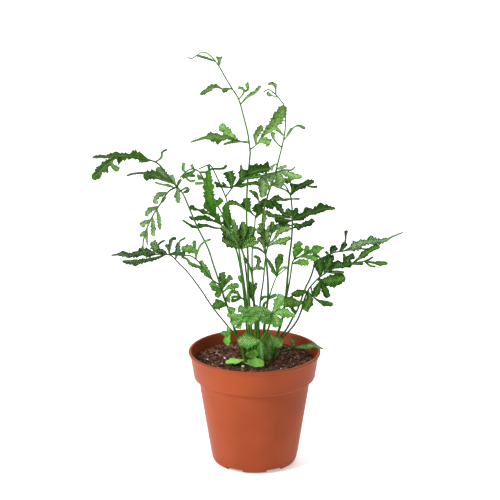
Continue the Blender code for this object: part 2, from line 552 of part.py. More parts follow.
    frond("frond_right", (13, 8),
          [(24, -78, 7), (29, -62, 6), (32, -44, 6), (35, -10, 6), (37, 6, 7), (38, 20, 8), (38, 34, 8),
           (37, 46, 9),
           (36, 50, 9), (33, 56, 9), (30, 60, 9)], (1.1, 0.5), [
              ([(36, 51), (32, 54), (27, 56), (18, 60)], 8, (0.6, 0.7, 1.1, 1.3), (0.6, 0.7, 2.2, 2.8)),
              ([(36, 50), (38, 53), (39, 60)], 3, (1.3, 2.8), (1.7, 2.8)),
              ([(36, 49), (42, 55), (49, 59), (58, 62)], 9, (1.1, 3.9, 2.2, 3.4, 2.2),
               (1.1, 1.7, 3.4, 2.2, 1.7)),
              ([(49, 58), (55, 57), (61, 57)], 4, (0.9, 1)),
              ([(37, 46), (31, 45), (26, 46), (19, 46)], -4, (1.1, 1.1, 2.2, 1.7), (1.7, 1.1, 3.4, 2.2)),
              ([(37, 46), (41, 46), (45, 46)], 5, (0.8, 0.9)),
              ([(38, 27), (48, 31), (58, 34), (68, 37), (77, 37)], 18, (3.4, 2.8, 6.7, 3.4, 5.6, 4.5, 2.2),
               (3.4, 3.4, 1.7, 2.2, 2.2, 1.7, 1.1)),
              ([(38, 20), (47, 22), (52, 24), (57, 28)], 10, (1.7, 2.8, 1.7), (1.7, 2.2, 3.9)),
              ([(38, 28), (41, 35), (43, 38)], 5, (2.8, 1.7)),
              ([(38, 27), (31, 27), (22, 28)], -7, (3.4, 4.5, 2.8), (1.1, 1.3, 1.1)),
              ([(38, 29), (30, 30), (20, 31), (13, 35)], 8, (1.1, 1.7, 2.2, 2.2)),
              ([(38, 31), (31, 32), (27, 37), (20, 44)], 2, (1.7, 1.7, 2.8, 2.2), (1.1, 1.7, 3.4, 2.8)),
              ([(38, 32), (35, 34), (33, 37)], -4, (2.8, 2.2)),
              ([(38, 19), (32, 20), (26, 18)], -5, (1.3, 2, 1.7)),
              ([(38, 24), (42, 22), (45, 18)], -3, (2.2, 1.7)),
              ([(39, -8), (41, -2), (45, 8)], -4, (2.2, 3.9, 2.8), (2.2, 3.4, 2.8)),
              ([(38, -12), (46, -11), (53, -12)], -8, (1.8, 2.9, 2.5)),
              ([(39, -9), (45, -6), (49, -4), (52, 4)], -5, (0.6, 1, 2.7)),
              ([(44, -6), (51, -6), (61, -8)], -9, (1.1, 2.2, 2.5), (1.1, 2.2, 3.4)),
              ([(44, -6), (53, -2), (60, 0), (67, 2)], -5, (1, 1.3, 2.2, 5.6, 2.2), (1, 1.3, 2.2, 3.9, 1.1)),
              ([(38, 22), (31, 23), (25, 22)], -3, (1.3, 1.7)),
              ([(40, -6), (44, -3), (47, 2)], 3, (1.1, 1.8)),
          ], MID_GREEN, [([(33, -42, 6), (36, -26, 3), (38, -12, 1), (40, -8, 0), (45, -6, -1)], 0.6, 0.5)])
    frond("frond_inner_right", (7, 4),
          [(8, -72, 2), (9, -49, -1), (12, -27, -3), (14, -6, -6), (16, 3, -7), (18, 10, -8),
           (20, 16, -8), (21, 21, -8)],
          (0.7, 0.45), [
              ([(14, -4), (10, 0), (6, 2), (1, 2)], 1, (0.8, 1, 1)),
              ([(14, -5), (12, 5), (7, 11)], -3, (1.2, 1.9), (1.5, 3.1)),
              ([(16, 5), (15, 12), (17, 22)], -5, (1.9, 2.5, 1.5)),
              ([(16, 3), (12, 12), (12, 24)], 2, (2.5, 2.5, 1.9)),
              ([(19, 13), (20, 20), (20, 26)], 4, (1.9, 2.5, 1.9)),
              ([(18, 12), (12, 17), (6, 17)], -2, (1.8, 3)),
              ([(17, 5), (22, 10), (27, 17), (36, 20)], -4, (0.8, 1.5, 3, 2.5)),
              ([(16, 3), (22, 6), (29, 8), (36, 12)], -6, (1, 2.5, 3.1, 1.5), (0.8, 1.5, 3.8, 2.5)),
              ([(13, 17), (10, 20), (9, 24)], -2, (1.5, 1.8)),
              ([(20, 15), (23, 19), (26, 23)], 3, (1.8, 2)),
          ], SILVER_GREEN)
    frond("frond_small_right", (11, 0),
          [(12, -74, -3), (15, -52, -4), (18, -40, -5), (21, -31, -6), (24, -24, -6), (27, -21, -7),
           (31, -18, -7),
           (35, -14, -8)], (0.6, 0.35), [
              ([(24, -23), (25, -13), (28, -3)], 4, (1.2, 3.8, 2.5), (1.2, 4, 3)),
              ([(24, -24), (19, -14), (15, -7)], 2, (1.4, 1.8, 1)),
              ([(25, -22), (19, -18)], -3, (1.4, 1)),
              ([(25, -21), (29, -16), (34, -16)], -4, (1, 1.1)),
              ([(17, -44), (20, -42), (24, -40)], -2, (1.8, 1.5)),
              ([(17, -43), (13, -42), (9, -45)], -3, (1.2, 1.6)),
              ([(16, -46), (13, -48), (12, -52)], -2, (1.2, 1.2)),
          ], BRIGHT_GREEN)
    frond("frond_long_right", (15, 3),
          [(26, -80, -1), (33, -71, -3), (39, -60, -5), (43, -53, -6), (50, -34, -9), (54, -26, -10),
           (57, -17, -11),
           (58, -12, -12), (63, -8, -13), (70, -5, -15), (76, -2, -17), (84, -1, -19),
           (92, 2, -21)], (0.8, 0.5), [
              ([(72, -4), (74, 0), (78, 3)], 4, (2.8, 2.5)),
              ([(71, -5), (68, -1)], 3, (1.3, 1.2)),
              ([(61, -9), (68, -8), (76, -7)], -3, (1.5, 2.8, 2.8), (1.5, 2.4, 2.4)),
              ([(64, -7), (60, -5), (56, -4)], 3, (1.2, 1)),
              ([(71, -5), (70, -12), (71, -17)], -2, (2.5, 2.5)),
              ([(80, -1), (84, 3), (86, 9), (86, 13), (87, 18)], 6, (1.8, 2.5, 0.8, 0.8, 1.6)),
              ([(84, -1), (92, 2), (100, 6), (112, 8), (122, 9), (128, 12), (138, 16)], -16,
               (1, 4.5, 3.5, 2.5, 4.5, 2, 2, 0.6, 0.8), (1.5, 4.5, 4, 2.5, 2.5, 3.5, 2, 0.6, 0.8)),
              ([(96, 3), (102, 1), (107, 1)], -4, (0.8, 0.8)),
          ], DARK_GREEN)
    frond("frond_low_right", (17, -3),
          [(24, -83, -5), (30, -78, -7), (36, -72, -9), (42, -64, -12), (46, -55, -14), (49, -44, -16),
           (53, -35, -18),
           (58, -29, -19), (62, -25, -20), (69, -20, -22), (76, -16, -24), (84, -14, -26), (92, -12, -28),
           (104, -10, -31)], (0.8, 0.4), [
              ([(64, -25), (63, -18), (62, -9)], -4, (2.5, 4.8, 4.6)),
              ([(67, -22), (70, -14), (72, -7)], -4, (1.7, 3.9, 3.4)),
              ([(61, -27), (68, -28), (77, -27), (86, -25)], -7, (1.7, 4, 5.2, 5.8, 4.6),
               (1.7, 4.6, 6.3, 5.8, 3.4)),
              ([(69, -20), (76, -20), (85, -20)], -3, (1.4, 1.7, 1.1)),
              ([(84, -14), (85, -7), (84, -3)], 3, (1.4, 1.1)),
              ([(84, -11), (89, -7), (94, -5)], 2, (2.3, 2.8)),
              ([(70, -20), (77, -14), (84, -13), (92, -13)], -2, (2.3, 4, 2.3, 3.4), (1.7, 3.4, 3.4, 2.9)),
              ([(88, -13), (95, -12), (102, -12)], -5, (1.4, 1.7)),
              ([(92, -12), (100, -6), (108, 0), (117, 3)], -5, (1.1, 3.2, 2.3, 2.9), (1.1, 2.9, 2.3, 1.7)),
              ([(102, -10), (109, -11), (116, -12), (124, -12)], -8, (1, 1.1, 2.3, 1.7)),
              ([(103, -10), (108, -14), (113, -15)], -5, (0.9, 0.9)),
              ([(101, -10), (106, -9), (111, -6)], 3, (0.8, 0.8)),
              ([(52, -36), (53, -45), (48, -54)], -5, (2.9, 4.6, 4.6), (2.3, 4.6, 3.4)),
              ([(52, -37), (46, -38), (37, -40)], -4, (2.9, 4, 2.3), (2.3, 2.9, 1.7)),
              ([(55, -33), (57, -41), (61, -37), (63, -30)], 4, (0.8, 1.1, 2.8)),
              ([(62, -25), (67, -35), (72, -42)], -4, (1.7, 2.9, 1.7), (1.1, 3.4, 4.6)),
              ([(56, -38), (58, -43), (65, -47), (75, -49)], -3, (0.7, 1.1, 2.5, 1.7), (0.7, 1.1, 3.2, 2.3)),
              ([(49, -46), (42, -48), (36, -47), (31, -48)], -2, (2.3, 3.4, 5.2, 4.6), (2.3, 3.4, 5.2, 4.6)),
              ([(37, -49), (38, -53), (42, -57)], -1, (1.4, 1.4)),
              ([(64, -27), (61, -34), (58, -42)], 2, (2.3, 3.4, 2.9)),
          ], MID_GREEN)
    frond("frond_low_centre", (8, -7),
          [(14, -80, -10), (18, -66, -14), (21, -56, -17)], (0.9, 0.7), [
              ([(21, -57), (14, -54), (6, -54), (-1, -55), (-8, -58)], -6, (1.6, 3.9, 3.9, 4.5, 2.6),
               (1.3, 2.9, 3.9, 3.9, 2.6)),
              ([(21, -58), (11, -57), (5, -61), (-1, -67)], -12, (1.6, 2, 2.9, 2.3), (1.3, 2.6, 4.5, 3.9)),
              ([(20, -57), (29, -56), (36, -58), (41, -60)], -3, (2.6, 3.9, 3.2, 1.6), (2.6, 4.5, 3.9, 2)),
              ([(21, -57), (23, -63), (24, -70)], -6, (3.2, 5.2, 3.2)),
              ([(20, -58), (16, -62), (15, -67)], -5, (2.6, 2.6)),
              ([(20, -58), (25, -48), (29, -40)], -2, (1.8, 4.4, 3.9), (1.8, 4.9, 3.9)),
              ([(1, -55), (-5, -54), (-11, -53)], -4, (2, 3.2), (2, 3.9)),
              ([(2, -56), (-5, -62), (-12, -60), (-21, -58)], -3, (1.6, 2.9, 3.2, 2)),
              ([(-3, -61), (-9, -66), (-11, -71)], -3, (2, 2.6)),
              ([(-5, -62), (-12, -64), (-17, -67)], -4, (2.6, 3.1)),
              ([(20, -58), (14, -61), (9, -64)], -7, (2.3, 2.9)),
          ], SILVER_GREEN)
    frond("frond_low_left", (-10, 0),
          [(-9, -82, -5), (-13, -73, -8), (-18, -58, -11), (-21, -49, -13), (-24, -42, -14),
           (-25, -36, -15),
           (-28, -31, -17), (-35, -26, -20), (-40, -19, -22), (-45, -12, -25), (-49, -8, -26),
           (-54, -5, -28),
           (-60, -5, -29), (-71, -4, -31)], (0.7, 0.4), [
              ([(-34, -27), (-40, -19), (-44, -9)], 5, (2.3, 4, 2.3), (2.9, 3.4, 1.7)),
              ([(-42, -16), (-50, -14), (-54, -12), (-57, -8), (-62, -6)], -5, (1.5, 1.7, 1.1, 1)),
              ([(-26, -33), (-31, -33), (-36, -29)], 3, (2.9, 2.3)),
              ([(-25, -36), (-31, -35), (-35, -34)], -3, (2.3, 1.7)),
              ([(-25, -36), (-28, -39), (-31, -42)], -5, (2.9, 2.3)),
              ([(-25, -36), (-24, -28), (-26, -20)], 4, (2.3, 3.4, 2.9), (1.7, 2.9, 3.4)),
              ([(-24, -35), (-20, -27), (-16, -24)], 2, (1.7, 2.5)),
              ([(-25, -38), (-18, -33), (-10, -31)], -4, (1.1, 2.3, 1.7), (1.1, 3.4, 2.8)),
              ([(-20, -50), (-27, -49), (-34, -51)], -6, (2.3, 4.6, 2.3), (3.4, 4.6, 2.3)),
              ([(-20, -50), (-18, -53), (-14, -56)], -5, (2.5, 2.8)),
              ([(-49, -8), (-49, -2), (-54, 1), (-62, 2)], 4, (0.8, 3.4, 4.8, 3), (0.8, 2.9, 3.4, 2.1)),
              ([(-49, -2), (-50, 4), (-50, 9)], 7, (1.6, 1.5)),
              ([(-49, -8), (-47, -1), (-43, 6), (-35, 10)], -7, (0.8, 1, 1)),
          ], BRIGHT_GREEN)
    frond("frond_long_left", (-9, 13),
          [(-6, -86, 13), (-11, -79, 13), (-22, -66, 13), (-34, -51, 13), (-44, -36, 13), (-56, -20, 13),
           (-63, -13, 13),
           (-71, -5, 12), (-78, -4, 11), (-86, -4, 10), (-94, -5, 9)], (0.6, 0.4), [
              ([(-84, -4), (-96, -3), (-108, -4), (-118, -4), (-125, -5)], -8,
               (3, 2, 3, 2.5, 2, 0.9), (4, 6, 3, 1.5, 3, 0.9)),
              ([(-76, -5), (-88, -8), (-100, -10), (-115, -10)], -14, (1.5, 2, 2, 3.5, 2.5),
               (0.8, 1.5, 2, 1.5, 1)),
              ([(-78, -4), (-84, 1), (-88, 8)], 5, (2.5, 4, 2.5), (2.5, 3.5, 3.5)),
              ([(-83, 4), (-80, 7), (-76, 9)], 5, (0.9, 0.7)),
              ([(-73, -4), (-73, 1), (-76, 5)], -3, (1.3, 1.4)),
              ([(-73, -4), (-72, 5), (-70, 10), (-66, 10)], 4, (1.2, 1.6, 1.5)),
              ([(-67, -8), (-65, 0), (-65, 7)], -3, (1.5, 2.3, 1.8)),
              ([(-66, 4), (-63, 8), (-58, 11)], -3, (0.8, 0.9)),
              ([(-72, -4), (-66, -3), (-58, -4)], 3, (2.5, 2), (1, 1)),
              ([(-75, -4), (-79, -1), (-85, -1)], -4, (2, 2, 1.2)),
          ], DARK_GREEN, lean=-0.35)
    frond("leaf_star", (-9, -6),
          [(-7, -88, -9), (-9, -80, -12), (-14, -75, -15), (-19, -75, -17)], (0.6, 0.5), [
              ([(-18, -75), (-20, -80), (-20, -86)], -3, (2, 3, 1.5), (3, 3.5, 2)),
              ([(-18, -76), (-20, -68)], 4, (1.8, 1.2)),
              ([(-18, -76), (-26, -74)], -2, (2.5, 1.5)),
          ], BRIGHT_GREEN)
    frond("leaf_silver_crown", (4, -7),
          [(11, -88, -9), (15, -79, -14), (16, -73, -18), (13, -76, -21), (9, -82, -23)], (0.6, 0.45), [
              ([(10, -81), (4, -82), (-3, -82), (-11, -81)], -3, (2.9, 5.8, 6.9, 4.6), (2.3, 5.2, 6.3, 4)),
              ([(10, -81), (9, -89), (11, -98)], -1, (2.3, 2.9, 1.7)),
              ([(10, -81), (13, -89), (15, -96)], 3, (1.4, 1.8)),
          ], SILVER_GREEN)
    frond("leaf_dark_crown", (13, -6),
          [(19, -84, -9), (19, -78, -11), (18, -74, -12)], (0.6, 0.5), [
              ([(18, -75), (17, -85), (17, -98)], -3, (2.6, 5.2, 5.8, 3.2), (1.4, 4.5, 5.2, 2.6)),
              ([(18, -76), (23, -82), (29, -86)], -2, (2.6, 5.2, 3.2), (2.6, 4.5, 3.2)),
          ], DARK_GREEN)
    frond("leaf_over_rim", (19, 3),
          [(27, -92, 0), (34, -90, -2), (40, -87, -4)], (0.6, 0.5), [
              ([(38, -88), (47, -87), (56, -86), (66, -89)], -8, (1, 2, 2, 2, 1), (0.8, 2, 3, 1.5, 0.8)),
              ([(39, -87), (39, -83), (36, -79)], 6, (1.5, 2)),
          ], SILVER_GREEN)
    frond("seedlings", (1, -14), [(4, -100, -15), (5, -97, -14)], (0.6, 0.5), [
        ([(5, -97), (5, -100), (4, -105)], -13, (6.5, 7.5, 6), (6.5, 7.5, 6)),
        ([(5, -97), (4, -95), (3, -90)], -1, (6, 7.5, 5.5)),
    ], PALE_GREEN)
    frond("leaf_on_soil", (-5, -15), [(-6, -101, -14), (-6, -99, -14)], (0.5, 0.45), [
        ([(-6, -99), (-13, -100), (-22, -101)], -6, (1.5, 3, 1.5, 2), (1, 2, 2.5, 1.5)),
    ], PALE_GREEN, lean=2.5)


make_pot()
make_fronds()
make_soil()
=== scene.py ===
import math
import random

import bmesh
import bpy
from mathutils import Euler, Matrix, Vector, noise


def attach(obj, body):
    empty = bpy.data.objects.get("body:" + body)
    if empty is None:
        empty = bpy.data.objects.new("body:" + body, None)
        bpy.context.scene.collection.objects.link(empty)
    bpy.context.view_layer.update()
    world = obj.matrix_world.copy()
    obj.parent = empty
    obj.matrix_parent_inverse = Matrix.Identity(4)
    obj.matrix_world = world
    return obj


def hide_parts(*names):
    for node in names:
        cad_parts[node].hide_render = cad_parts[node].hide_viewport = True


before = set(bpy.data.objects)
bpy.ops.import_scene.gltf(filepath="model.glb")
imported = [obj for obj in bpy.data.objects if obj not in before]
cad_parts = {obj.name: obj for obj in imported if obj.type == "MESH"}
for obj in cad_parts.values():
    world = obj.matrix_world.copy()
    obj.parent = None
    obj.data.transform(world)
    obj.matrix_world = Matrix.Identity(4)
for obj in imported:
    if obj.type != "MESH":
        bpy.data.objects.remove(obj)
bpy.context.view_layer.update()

# The pot. A thin-walled nursery pot, injection moulded in terracotta-coloured polypropylene: a tapered
# body, a step under a wide band, a rolled lip, and drain notches round the foot. It stands on its foot.
MM = 0.001
POT_STEPS = 144
POT_OUTSIDE = [(0, 0), (9, 0), (9.4, 0.5), (11.2, 0.5), (11.6, 0), (34, 0), (37, 1.5), (38.7, 4.5),
               (39.2, 8.4), (39.6, 8.8), (49.4, 71), (50, 78.8), (52, 80.4), (55, 82), (58.3, 103),
               (59.7, 104), (60, 105.2), (59.2, 106)]
POT_INSIDE = [(57.6, 106), (56.7, 103), (53.4, 83.2), (48.4, 80), (47.8, 71), (37.8, 8.8), (35, 2.5),
              (0, 2.5)]
POT_EDGE = 0.45
EDGE_LEAST_RADIUS = 30
EDGE_LEAST_BEND = math.radians(15)
SHARP = math.radians(30)
MERGED = 0.02
LEVEL = 0.001
DRAIN_SLOTS = 6
DRAIN_SIZE = (16, 17, 7)
DRAIN_CENTRE = 35.0
DRAIN_FIRST_ANGLE = math.radians(-60)
DRAIN_EDGE = 0.8
TERRACOTTA = (0.315, 0.061, 0.02)
TERRACOTTA_PALE = (0.365, 0.071, 0.0235)
# The pot's colour is darker over its lowest 12 mm, towards the foot.
FOOT_DARKER = (0.24, 0.05, 0.022)
FOOT_DARK_HEIGHT = 0.012
FOOT_DARK_SHARE = 0.35


def nodes_of(name):
    """A new material's name, node tree and shader."""
    material = bpy.data.materials.new(name)
    material.use_nodes = True
    tree = material.node_tree
    return material, tree, tree.nodes["Principled BSDF"]


def add_node(tree, kind, inputs=(), **settings):
    """A node with its settings and its inputs, each a plain value or another node's output socket."""
    node = tree.nodes.new(kind)
    for key, value in settings.items():
        setattr(node, key, value)
    for key, value in dict(inputs).items():
        if isinstance(value, bpy.types.NodeSocket):
            tree.links.new(value, node.inputs[key])
        else:
            node.inputs[key].default_value = value
    return node


def blend_colours(tree, factor, one, two):
    """A mix of two colours, each a triple or a socket.

    A Mix node's sockets go by number: 0 is the factor, 6 and 7 are its colours, and 2 is what it gives.
    """
    mix = add_node(tree, "ShaderNodeMix", data_type="RGBA")
    for key, value in ((0, factor), (6, one), (7, two)):
        if isinstance(value, bpy.types.NodeSocket):
            tree.links.new(value, mix.inputs[key])
        else:
            mix.inputs[key].default_value = value if key == 0 else (*value, 1)
    return mix.outputs[2]


def maths(tree, operation, one, two=0.0):
    """The sum, product or the like of two values, each a number or a socket."""
    return add_node(tree, "ShaderNodeMath", {0: one, 1: two}, operation=operation).outputs[0]


def ramp(tree, factor, low, high):
    """Nought below low, one above high, and a smooth rise between them."""
    node = add_node(tree, "ShaderNodeMapRange", {"Value": factor, "From Min": low, "From Max": high},
                    interpolation_type="SMOOTHSTEP")
    return node.outputs["Result"]


def speckle(tree, scale, detail, roughness=0.6):
    """Noise in the piece's own space, at so many lumps a metre."""
    place_of = add_node(tree, "ShaderNodeTexCoord")
    node = add_node(tree, "ShaderNodeTexNoise", {"Vector": place_of.outputs["Object"], "Scale": scale,
                                                 "Detail": detail, "Roughness": roughness})
    return node.outputs["Fac"]


def relief(tree, shader, height, strength, distance):
    """Fine relief on a surface that has its main shape already."""
    bump = add_node(tree, "ShaderNodeBump", {"Height": height, "Strength": strength, "Distance": distance})
    tree.links.new(bump.outputs["Normal"], shader.inputs["Normal"])


def turned(profile, steps):
    """A closed solid of revolution from a profile that starts and ends on the axis."""
    mesh = bmesh.new()
    points = [mesh.verts.new(Vector((radius, 0, height)) * MM) for radius, height in profile]
    edges = [mesh.edges.new(pair) for pair in zip(points, points[1:])]
    bmesh.ops.spin(mesh, geom=points + edges, axis=(0, 0, 1), cent=(0, 0, 0), angle=2 * math.pi,
                   steps=steps, use_merge=True)
    bmesh.ops.remove_doubles(mesh, verts=mesh.verts[:], dist=MERGED * MM)
    bmesh.ops.recalc_face_normals(mesh, faces=mesh.faces[:])
    return mesh


def as_piece(name, mesh, *materials):
    """A finished piece of the root body from a bmesh, shaded smooth but for its sharp edges."""
    data = bpy.data.meshes.new(name)
    mesh.to_mesh(data)
    mesh.free()
    piece = bpy.data.objects.new(name, data)
    bpy.context.scene.collection.objects.link(piece)
    for material in materials:
        data.materials.append(material)
    data.shade_smooth()
    data.set_sharp_from_angle(angle=SHARP)
    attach(piece, "root")
    return piece


def cut(piece, cutters):
    """Cuts the cutters out of a piece for good, and removes them."""
    for cutter in cutters:
        step = piece.modifiers.new("cut", "BOOLEAN")
        step.operation = "DIFFERENCE"
        step.object = cutter
        step.solver = "EXACT"
    bpy.context.view_layer.update()
    seen = piece.evaluated_get(bpy.context.evaluated_depsgraph_get())
    piece.data = bpy.data.meshes.new_from_object(seen)
    piece.modifiers.clear()
    for cutter in cutters:
        bpy.data.objects.remove(cutter)


def plastic():
    """Moulded polypropylene: warm terracotta, a faint sheen, slight cloudiness and fine scuffs."""
    material, tree, shader = nodes_of("terracotta_plastic")
    cloud = speckle(tree, scale=22, detail=2)
    grain = speckle(tree, scale=2600, detail=2)
    colour = blend_colours(tree, ramp(tree, cloud, low=0.35, high=0.7), TERRACOTTA, TERRACOTTA_PALE)
    place_of = add_node(tree, "ShaderNodeTexCoord").outputs["Object"]
    height = add_node(tree, "ShaderNodeSeparateXYZ", {"Vector": place_of}).outputs["Z"]
    # The colour darkens towards the foot, over the lowest 12 mm.
    foot_dark = maths(tree, "MULTIPLY", ramp(tree, height, low=FOOT_DARK_HEIGHT, high=0), FOOT_DARK_SHARE)
    darkened = blend_colours(tree, foot_dark, colour, FOOT_DARKER)
    tree.links.new(darkened, shader.inputs["Base Color"])
    sheen = add_node(tree, "ShaderNodeMapRange", {"Value": cloud, "To Min": 0.38, "To Max": 0.5})
    tree.links.new(sheen.outputs["Result"], shader.inputs["Roughness"])
    shader.inputs["Specular IOR Level"].default_value = 0.08
    relief(tree, shader, grain, strength=0.12, distance=0.0002)
    return material


mesh = turned(POT_OUTSIDE + POT_INSIDE, POT_STEPS)
rings = [edge for edge in mesh.edges
         if abs(edge.verts[0].co.z - edge.verts[1].co.z) < LEVEL * MM
         and abs(edge.verts[0].co.xy.length - edge.verts[1].co.xy.length) < LEVEL * MM
         and edge.verts[0].co.xy.length > EDGE_LEAST_RADIUS * MM
         and abs(edge.calc_face_angle(0)) > EDGE_LEAST_BEND]
bmesh.ops.bevel(mesh, geom=rings, offset=POT_EDGE * MM, offset_type="OFFSET", segments=2, profile=0.5,
                affect="EDGES", clamp_overlap=True, material=-1)
pot = as_piece("nursery_pot", mesh, plastic())
cutters = []
for number in range(DRAIN_SLOTS):
    mesh = bmesh.new()
    bmesh.ops.create_cube(mesh, size=1)
    bmesh.ops.scale(mesh, vec=Vector(DRAIN_SIZE) * MM, verts=mesh.verts[:])
    bmesh.ops.bevel(mesh, geom=mesh.edges[:], offset=DRAIN_EDGE * MM, segments=2, profile=0.5,
                    affect="EDGES", material=-1)
    bmesh.ops.translate(mesh, vec=Vector((DRAIN_CENTRE, 0, 0)) * MM, verts=mesh.verts[:])
    angle = DRAIN_FIRST_ANGLE + number * 2 * math.pi / DRAIN_SLOTS
    bmesh.ops.rotate(mesh, cent=(0, 0, 0), matrix=Euler((0, 0, angle)).to_matrix(), verts=mesh.verts[:])
    data = bpy.data.meshes.new("slot")
    mesh.to_mesh(data)
    mesh.free()
    cutters.append(bpy.data.objects.new("slot", data))
    bpy.context.scene.collection.objects.link(cutters[-1])
cut(pot, cutters)
pot.data.shade_smooth()
pot.data.set_sharp_from_angle(angle=SHARP)
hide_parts("pot")

# The soil. Damp potting mix of dark peat and composted bark, filled to 10 mm below the lip. Its top is a
# lumpy, crumbly crust, and below the top it simply fills the pot.
SOIL_TOP = 96.0
SOIL_LUMP = 1.4
LUMPS_PER_METRE = 90
CRUST_RISE = 0.75
CRUST_PER_METRE = 420
CRUST_ROUGH = (0.7, 2.2, 4)
CRUST_LEVEL = 0.2
SOIL_EDGE = 0.5
SOIL_REACH = 54.8
SOIL_RINGS = 60
SOIL_STEPS = 180
PEAT_DARK_AND_SHADE = (0.012, 0.005, 0.003)
PEAT_CRUMB = (0.16, 0.062, 0.031)
PEAT_PATCH = (0.042, 0.019, 0.01)
SOIL_SIDE = [(0, 2.95), (33.5, 2.95), (37.3, 9.2), (47.3, 71.5), (47.9, 80.6), (52.9, 83.8), (54.8, 95.4)]


def soil_height(x, y):
    """How high the soil's crust is at this place, in millimetres."""
    spot = Vector((x, y, SOIL_TOP)) * MM
    lumps = noise.noise(spot * LUMPS_PER_METRE) * SOIL_LUMP
    crumbs = noise.fractal(spot * CRUST_PER_METRE, *CRUST_ROUGH) * CRUST_RISE
    return SOIL_TOP + lumps + crumbs


def peat():
    """Dark damp peat: warm brown on its crumbs, near black in its hollows, partly its own colour and partly
    painted shade.
    """
    material, tree, shader = nodes_of("damp_peat")
    fine = speckle(tree, scale=900, detail=4, roughness=0.7)
    patches = speckle(tree, scale=110, detail=3)
    # One noise drives both colour and relief, so the hollows are darkest: dark peat with painted shade on
    # it.
    crumb = blend_colours(tree, ramp(tree, fine, low=0.4, high=0.66), PEAT_DARK_AND_SHADE, PEAT_CRUMB)
    colour = blend_colours(tree, ramp(tree, patches, low=0.5, high=0.7), crumb, PEAT_PATCH)
    tree.links.new(colour, shader.inputs["Base Color"])
    shader.inputs["Roughness"].default_value = 0.9
    shader.inputs["Specular IOR Level"].default_value = 0.25
    relief(tree, shader, fine, strength=0.9, distance=0.0009)
    return material


rings = range(1, SOIL_RINGS + 1)
profile = SOIL_SIDE + [(SOIL_REACH * (1 - ring / SOIL_RINGS), SOIL_TOP) for ring in rings]
mesh = turned(profile, SOIL_STEPS)
for point in mesh.verts:
    radius = point.co.xy.length / MM
    if point.co.z > (SOIL_TOP - CRUST_LEVEL) * MM and radius < SOIL_REACH - SOIL_EDGE:
        point.co.z = soil_height(point.co.x / MM, point.co.y / MM) * MM
soil = as_piece("potting_mix", mesh, peat())
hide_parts("soil")

# Crumbs, bark chips and perlite. Loose bits of the same mix lie on the crust: peat crumbs, flat chips of
# composted bark, and white grains of expanded perlite, each sunk a little way in.
CRUMBS = 2600
CRUMB_WIDTHS = (0.7, 0.9, 1.1, 1.5, 2.1)
CRUMB_LONGER = (0.8, 1.5)
CRUMB_HIGHER = (0.7, 1.1)
CRUMB_SUNK = 0.15
CHIPS = 620
CHIP_LENGTHS = (1.6, 2.2, 3.0, 4.2, 6.0)
CHIP_NARROWER = (0.25, 0.5)
CHIP_THICK = (0.4, 0.9)
CHIP_SUNK = 0.0
GRAINS = 14
GRAIN_WIDTHS = (0.9, 1.2, 1.6)
GRAIN_WIDER = 0.85
GRAIN_HIGHER = 0.8
LARGE_GRAIN_HIGHER = 0.75
GRAIN_SUNK = 0.2
LARGE_GRAINS = ((-10.5, -19.5, 3.4), (-27, 4, 2.2), (24, -22, 2.0), (37, 5, 1.8), (-38, -14, 1.9))
CRUMB_REACH = 54.0
HANDFUL = 60
BIT_TILT = 0.6
BIT_LUMPS = 1.7
BIT_LUMP = 0.28
BIT_VARIETY = 9
SEED = 12
SCATTER = random.Random(SEED)
CRUMB_DARK = (0.015, 0.006, 0.004)
CRUMB_LIGHT = (0.2, 0.078, 0.038)
BARK_DARK = (0.085, 0.033, 0.016)
BARK_LIGHT = (0.3, 0.135, 0.063)
PERLITE_DARK = (0.62, 0.6, 0.55)
PERLITE_LIGHT = (0.85, 0.84, 0.8)

# Blender's noise_vector starts from the clock unless its seed is set, and the bits would change each run.
noise.seed_set(SEED)


def bark(name, dark, light, roughness):
    """A loose bit's colour, which changes from bit to bit, with a fine rough grain."""
    material, tree, shader = nodes_of(name)
    bits = speckle(tree, scale=260, detail=2)
    fine = speckle(tree, scale=1900, detail=3)
    colour = blend_colours(tree, ramp(tree, bits, low=0.35, high=0.68), dark, light)
    tree.links.new(colour, shader.inputs["Base Color"])
    shader.inputs["Roughness"].default_value = roughness
    shader.inputs["Specular IOR Level"].default_value = 0.3
    relief(tree, shader, fine, strength=0.6, distance=0.0004)
    return material


def scattered(mesh, make, size, sunk, x, y):
    """Adds one bit of the mix to a mesh, turned at random and sunk a little way into the crust."""
    bit = make(mesh)["verts"]
    shape = noise.noise_vector(Vector((x, y, size[0])))
    for point in bit:
        point.co += noise.noise_vector(point.co * BIT_LUMPS + shape * BIT_VARIETY) * BIT_LUMP
    bmesh.ops.scale(mesh, vec=Vector(size) * MM, verts=bit)
    tilts = (SCATTER.uniform(-BIT_TILT, BIT_TILT), SCATTER.uniform(-BIT_TILT, BIT_TILT))
    turn = Euler((*tilts, SCATTER.uniform(0, 2 * math.pi)))
    bmesh.ops.rotate(mesh, cent=(0, 0, 0), matrix=turn.to_matrix(), verts=bit)
    height = soil_height(x, y) + size[2] * (0.5 - sunk)
    bmesh.ops.translate(mesh, vec=Vector((x, y, height)) * MM, verts=bit)


def heap(name, bits, material):
    """A piece from many loose bits, gathered a few dozen at a time; each bit is scattered()'s arguments."""
    whole = bmesh.new()
    for start in range(0, len(bits), HANDFUL):
        few = bmesh.new()
        for bit in bits[start:start + HANDFUL]:
            scattered(few, *bit)
        data = bpy.data.meshes.new("few")
        few.to_mesh(data)
        few.free()
        whole.from_mesh(data)
        bpy.data.meshes.remove(data)
    piece = as_piece(name, whole, material)


def somewhere(reach):
    """A random place in the pot, evenly spread."""
    angle = SCATTER.uniform(0, 2 * math.pi)
    radius = reach * math.sqrt(SCATTER.random())
    return radius * math.cos(angle), radius * math.sin(angle)


def pebble(mesh):
    return bmesh.ops.create_icosphere(mesh, subdivisions=1, radius=0.5)


def grain(mesh):
    return bmesh.ops.create_icosphere(mesh, subdivisions=2, radius=0.5)


def chip(mesh):
    return bmesh.ops.create_cube(mesh, size=1)


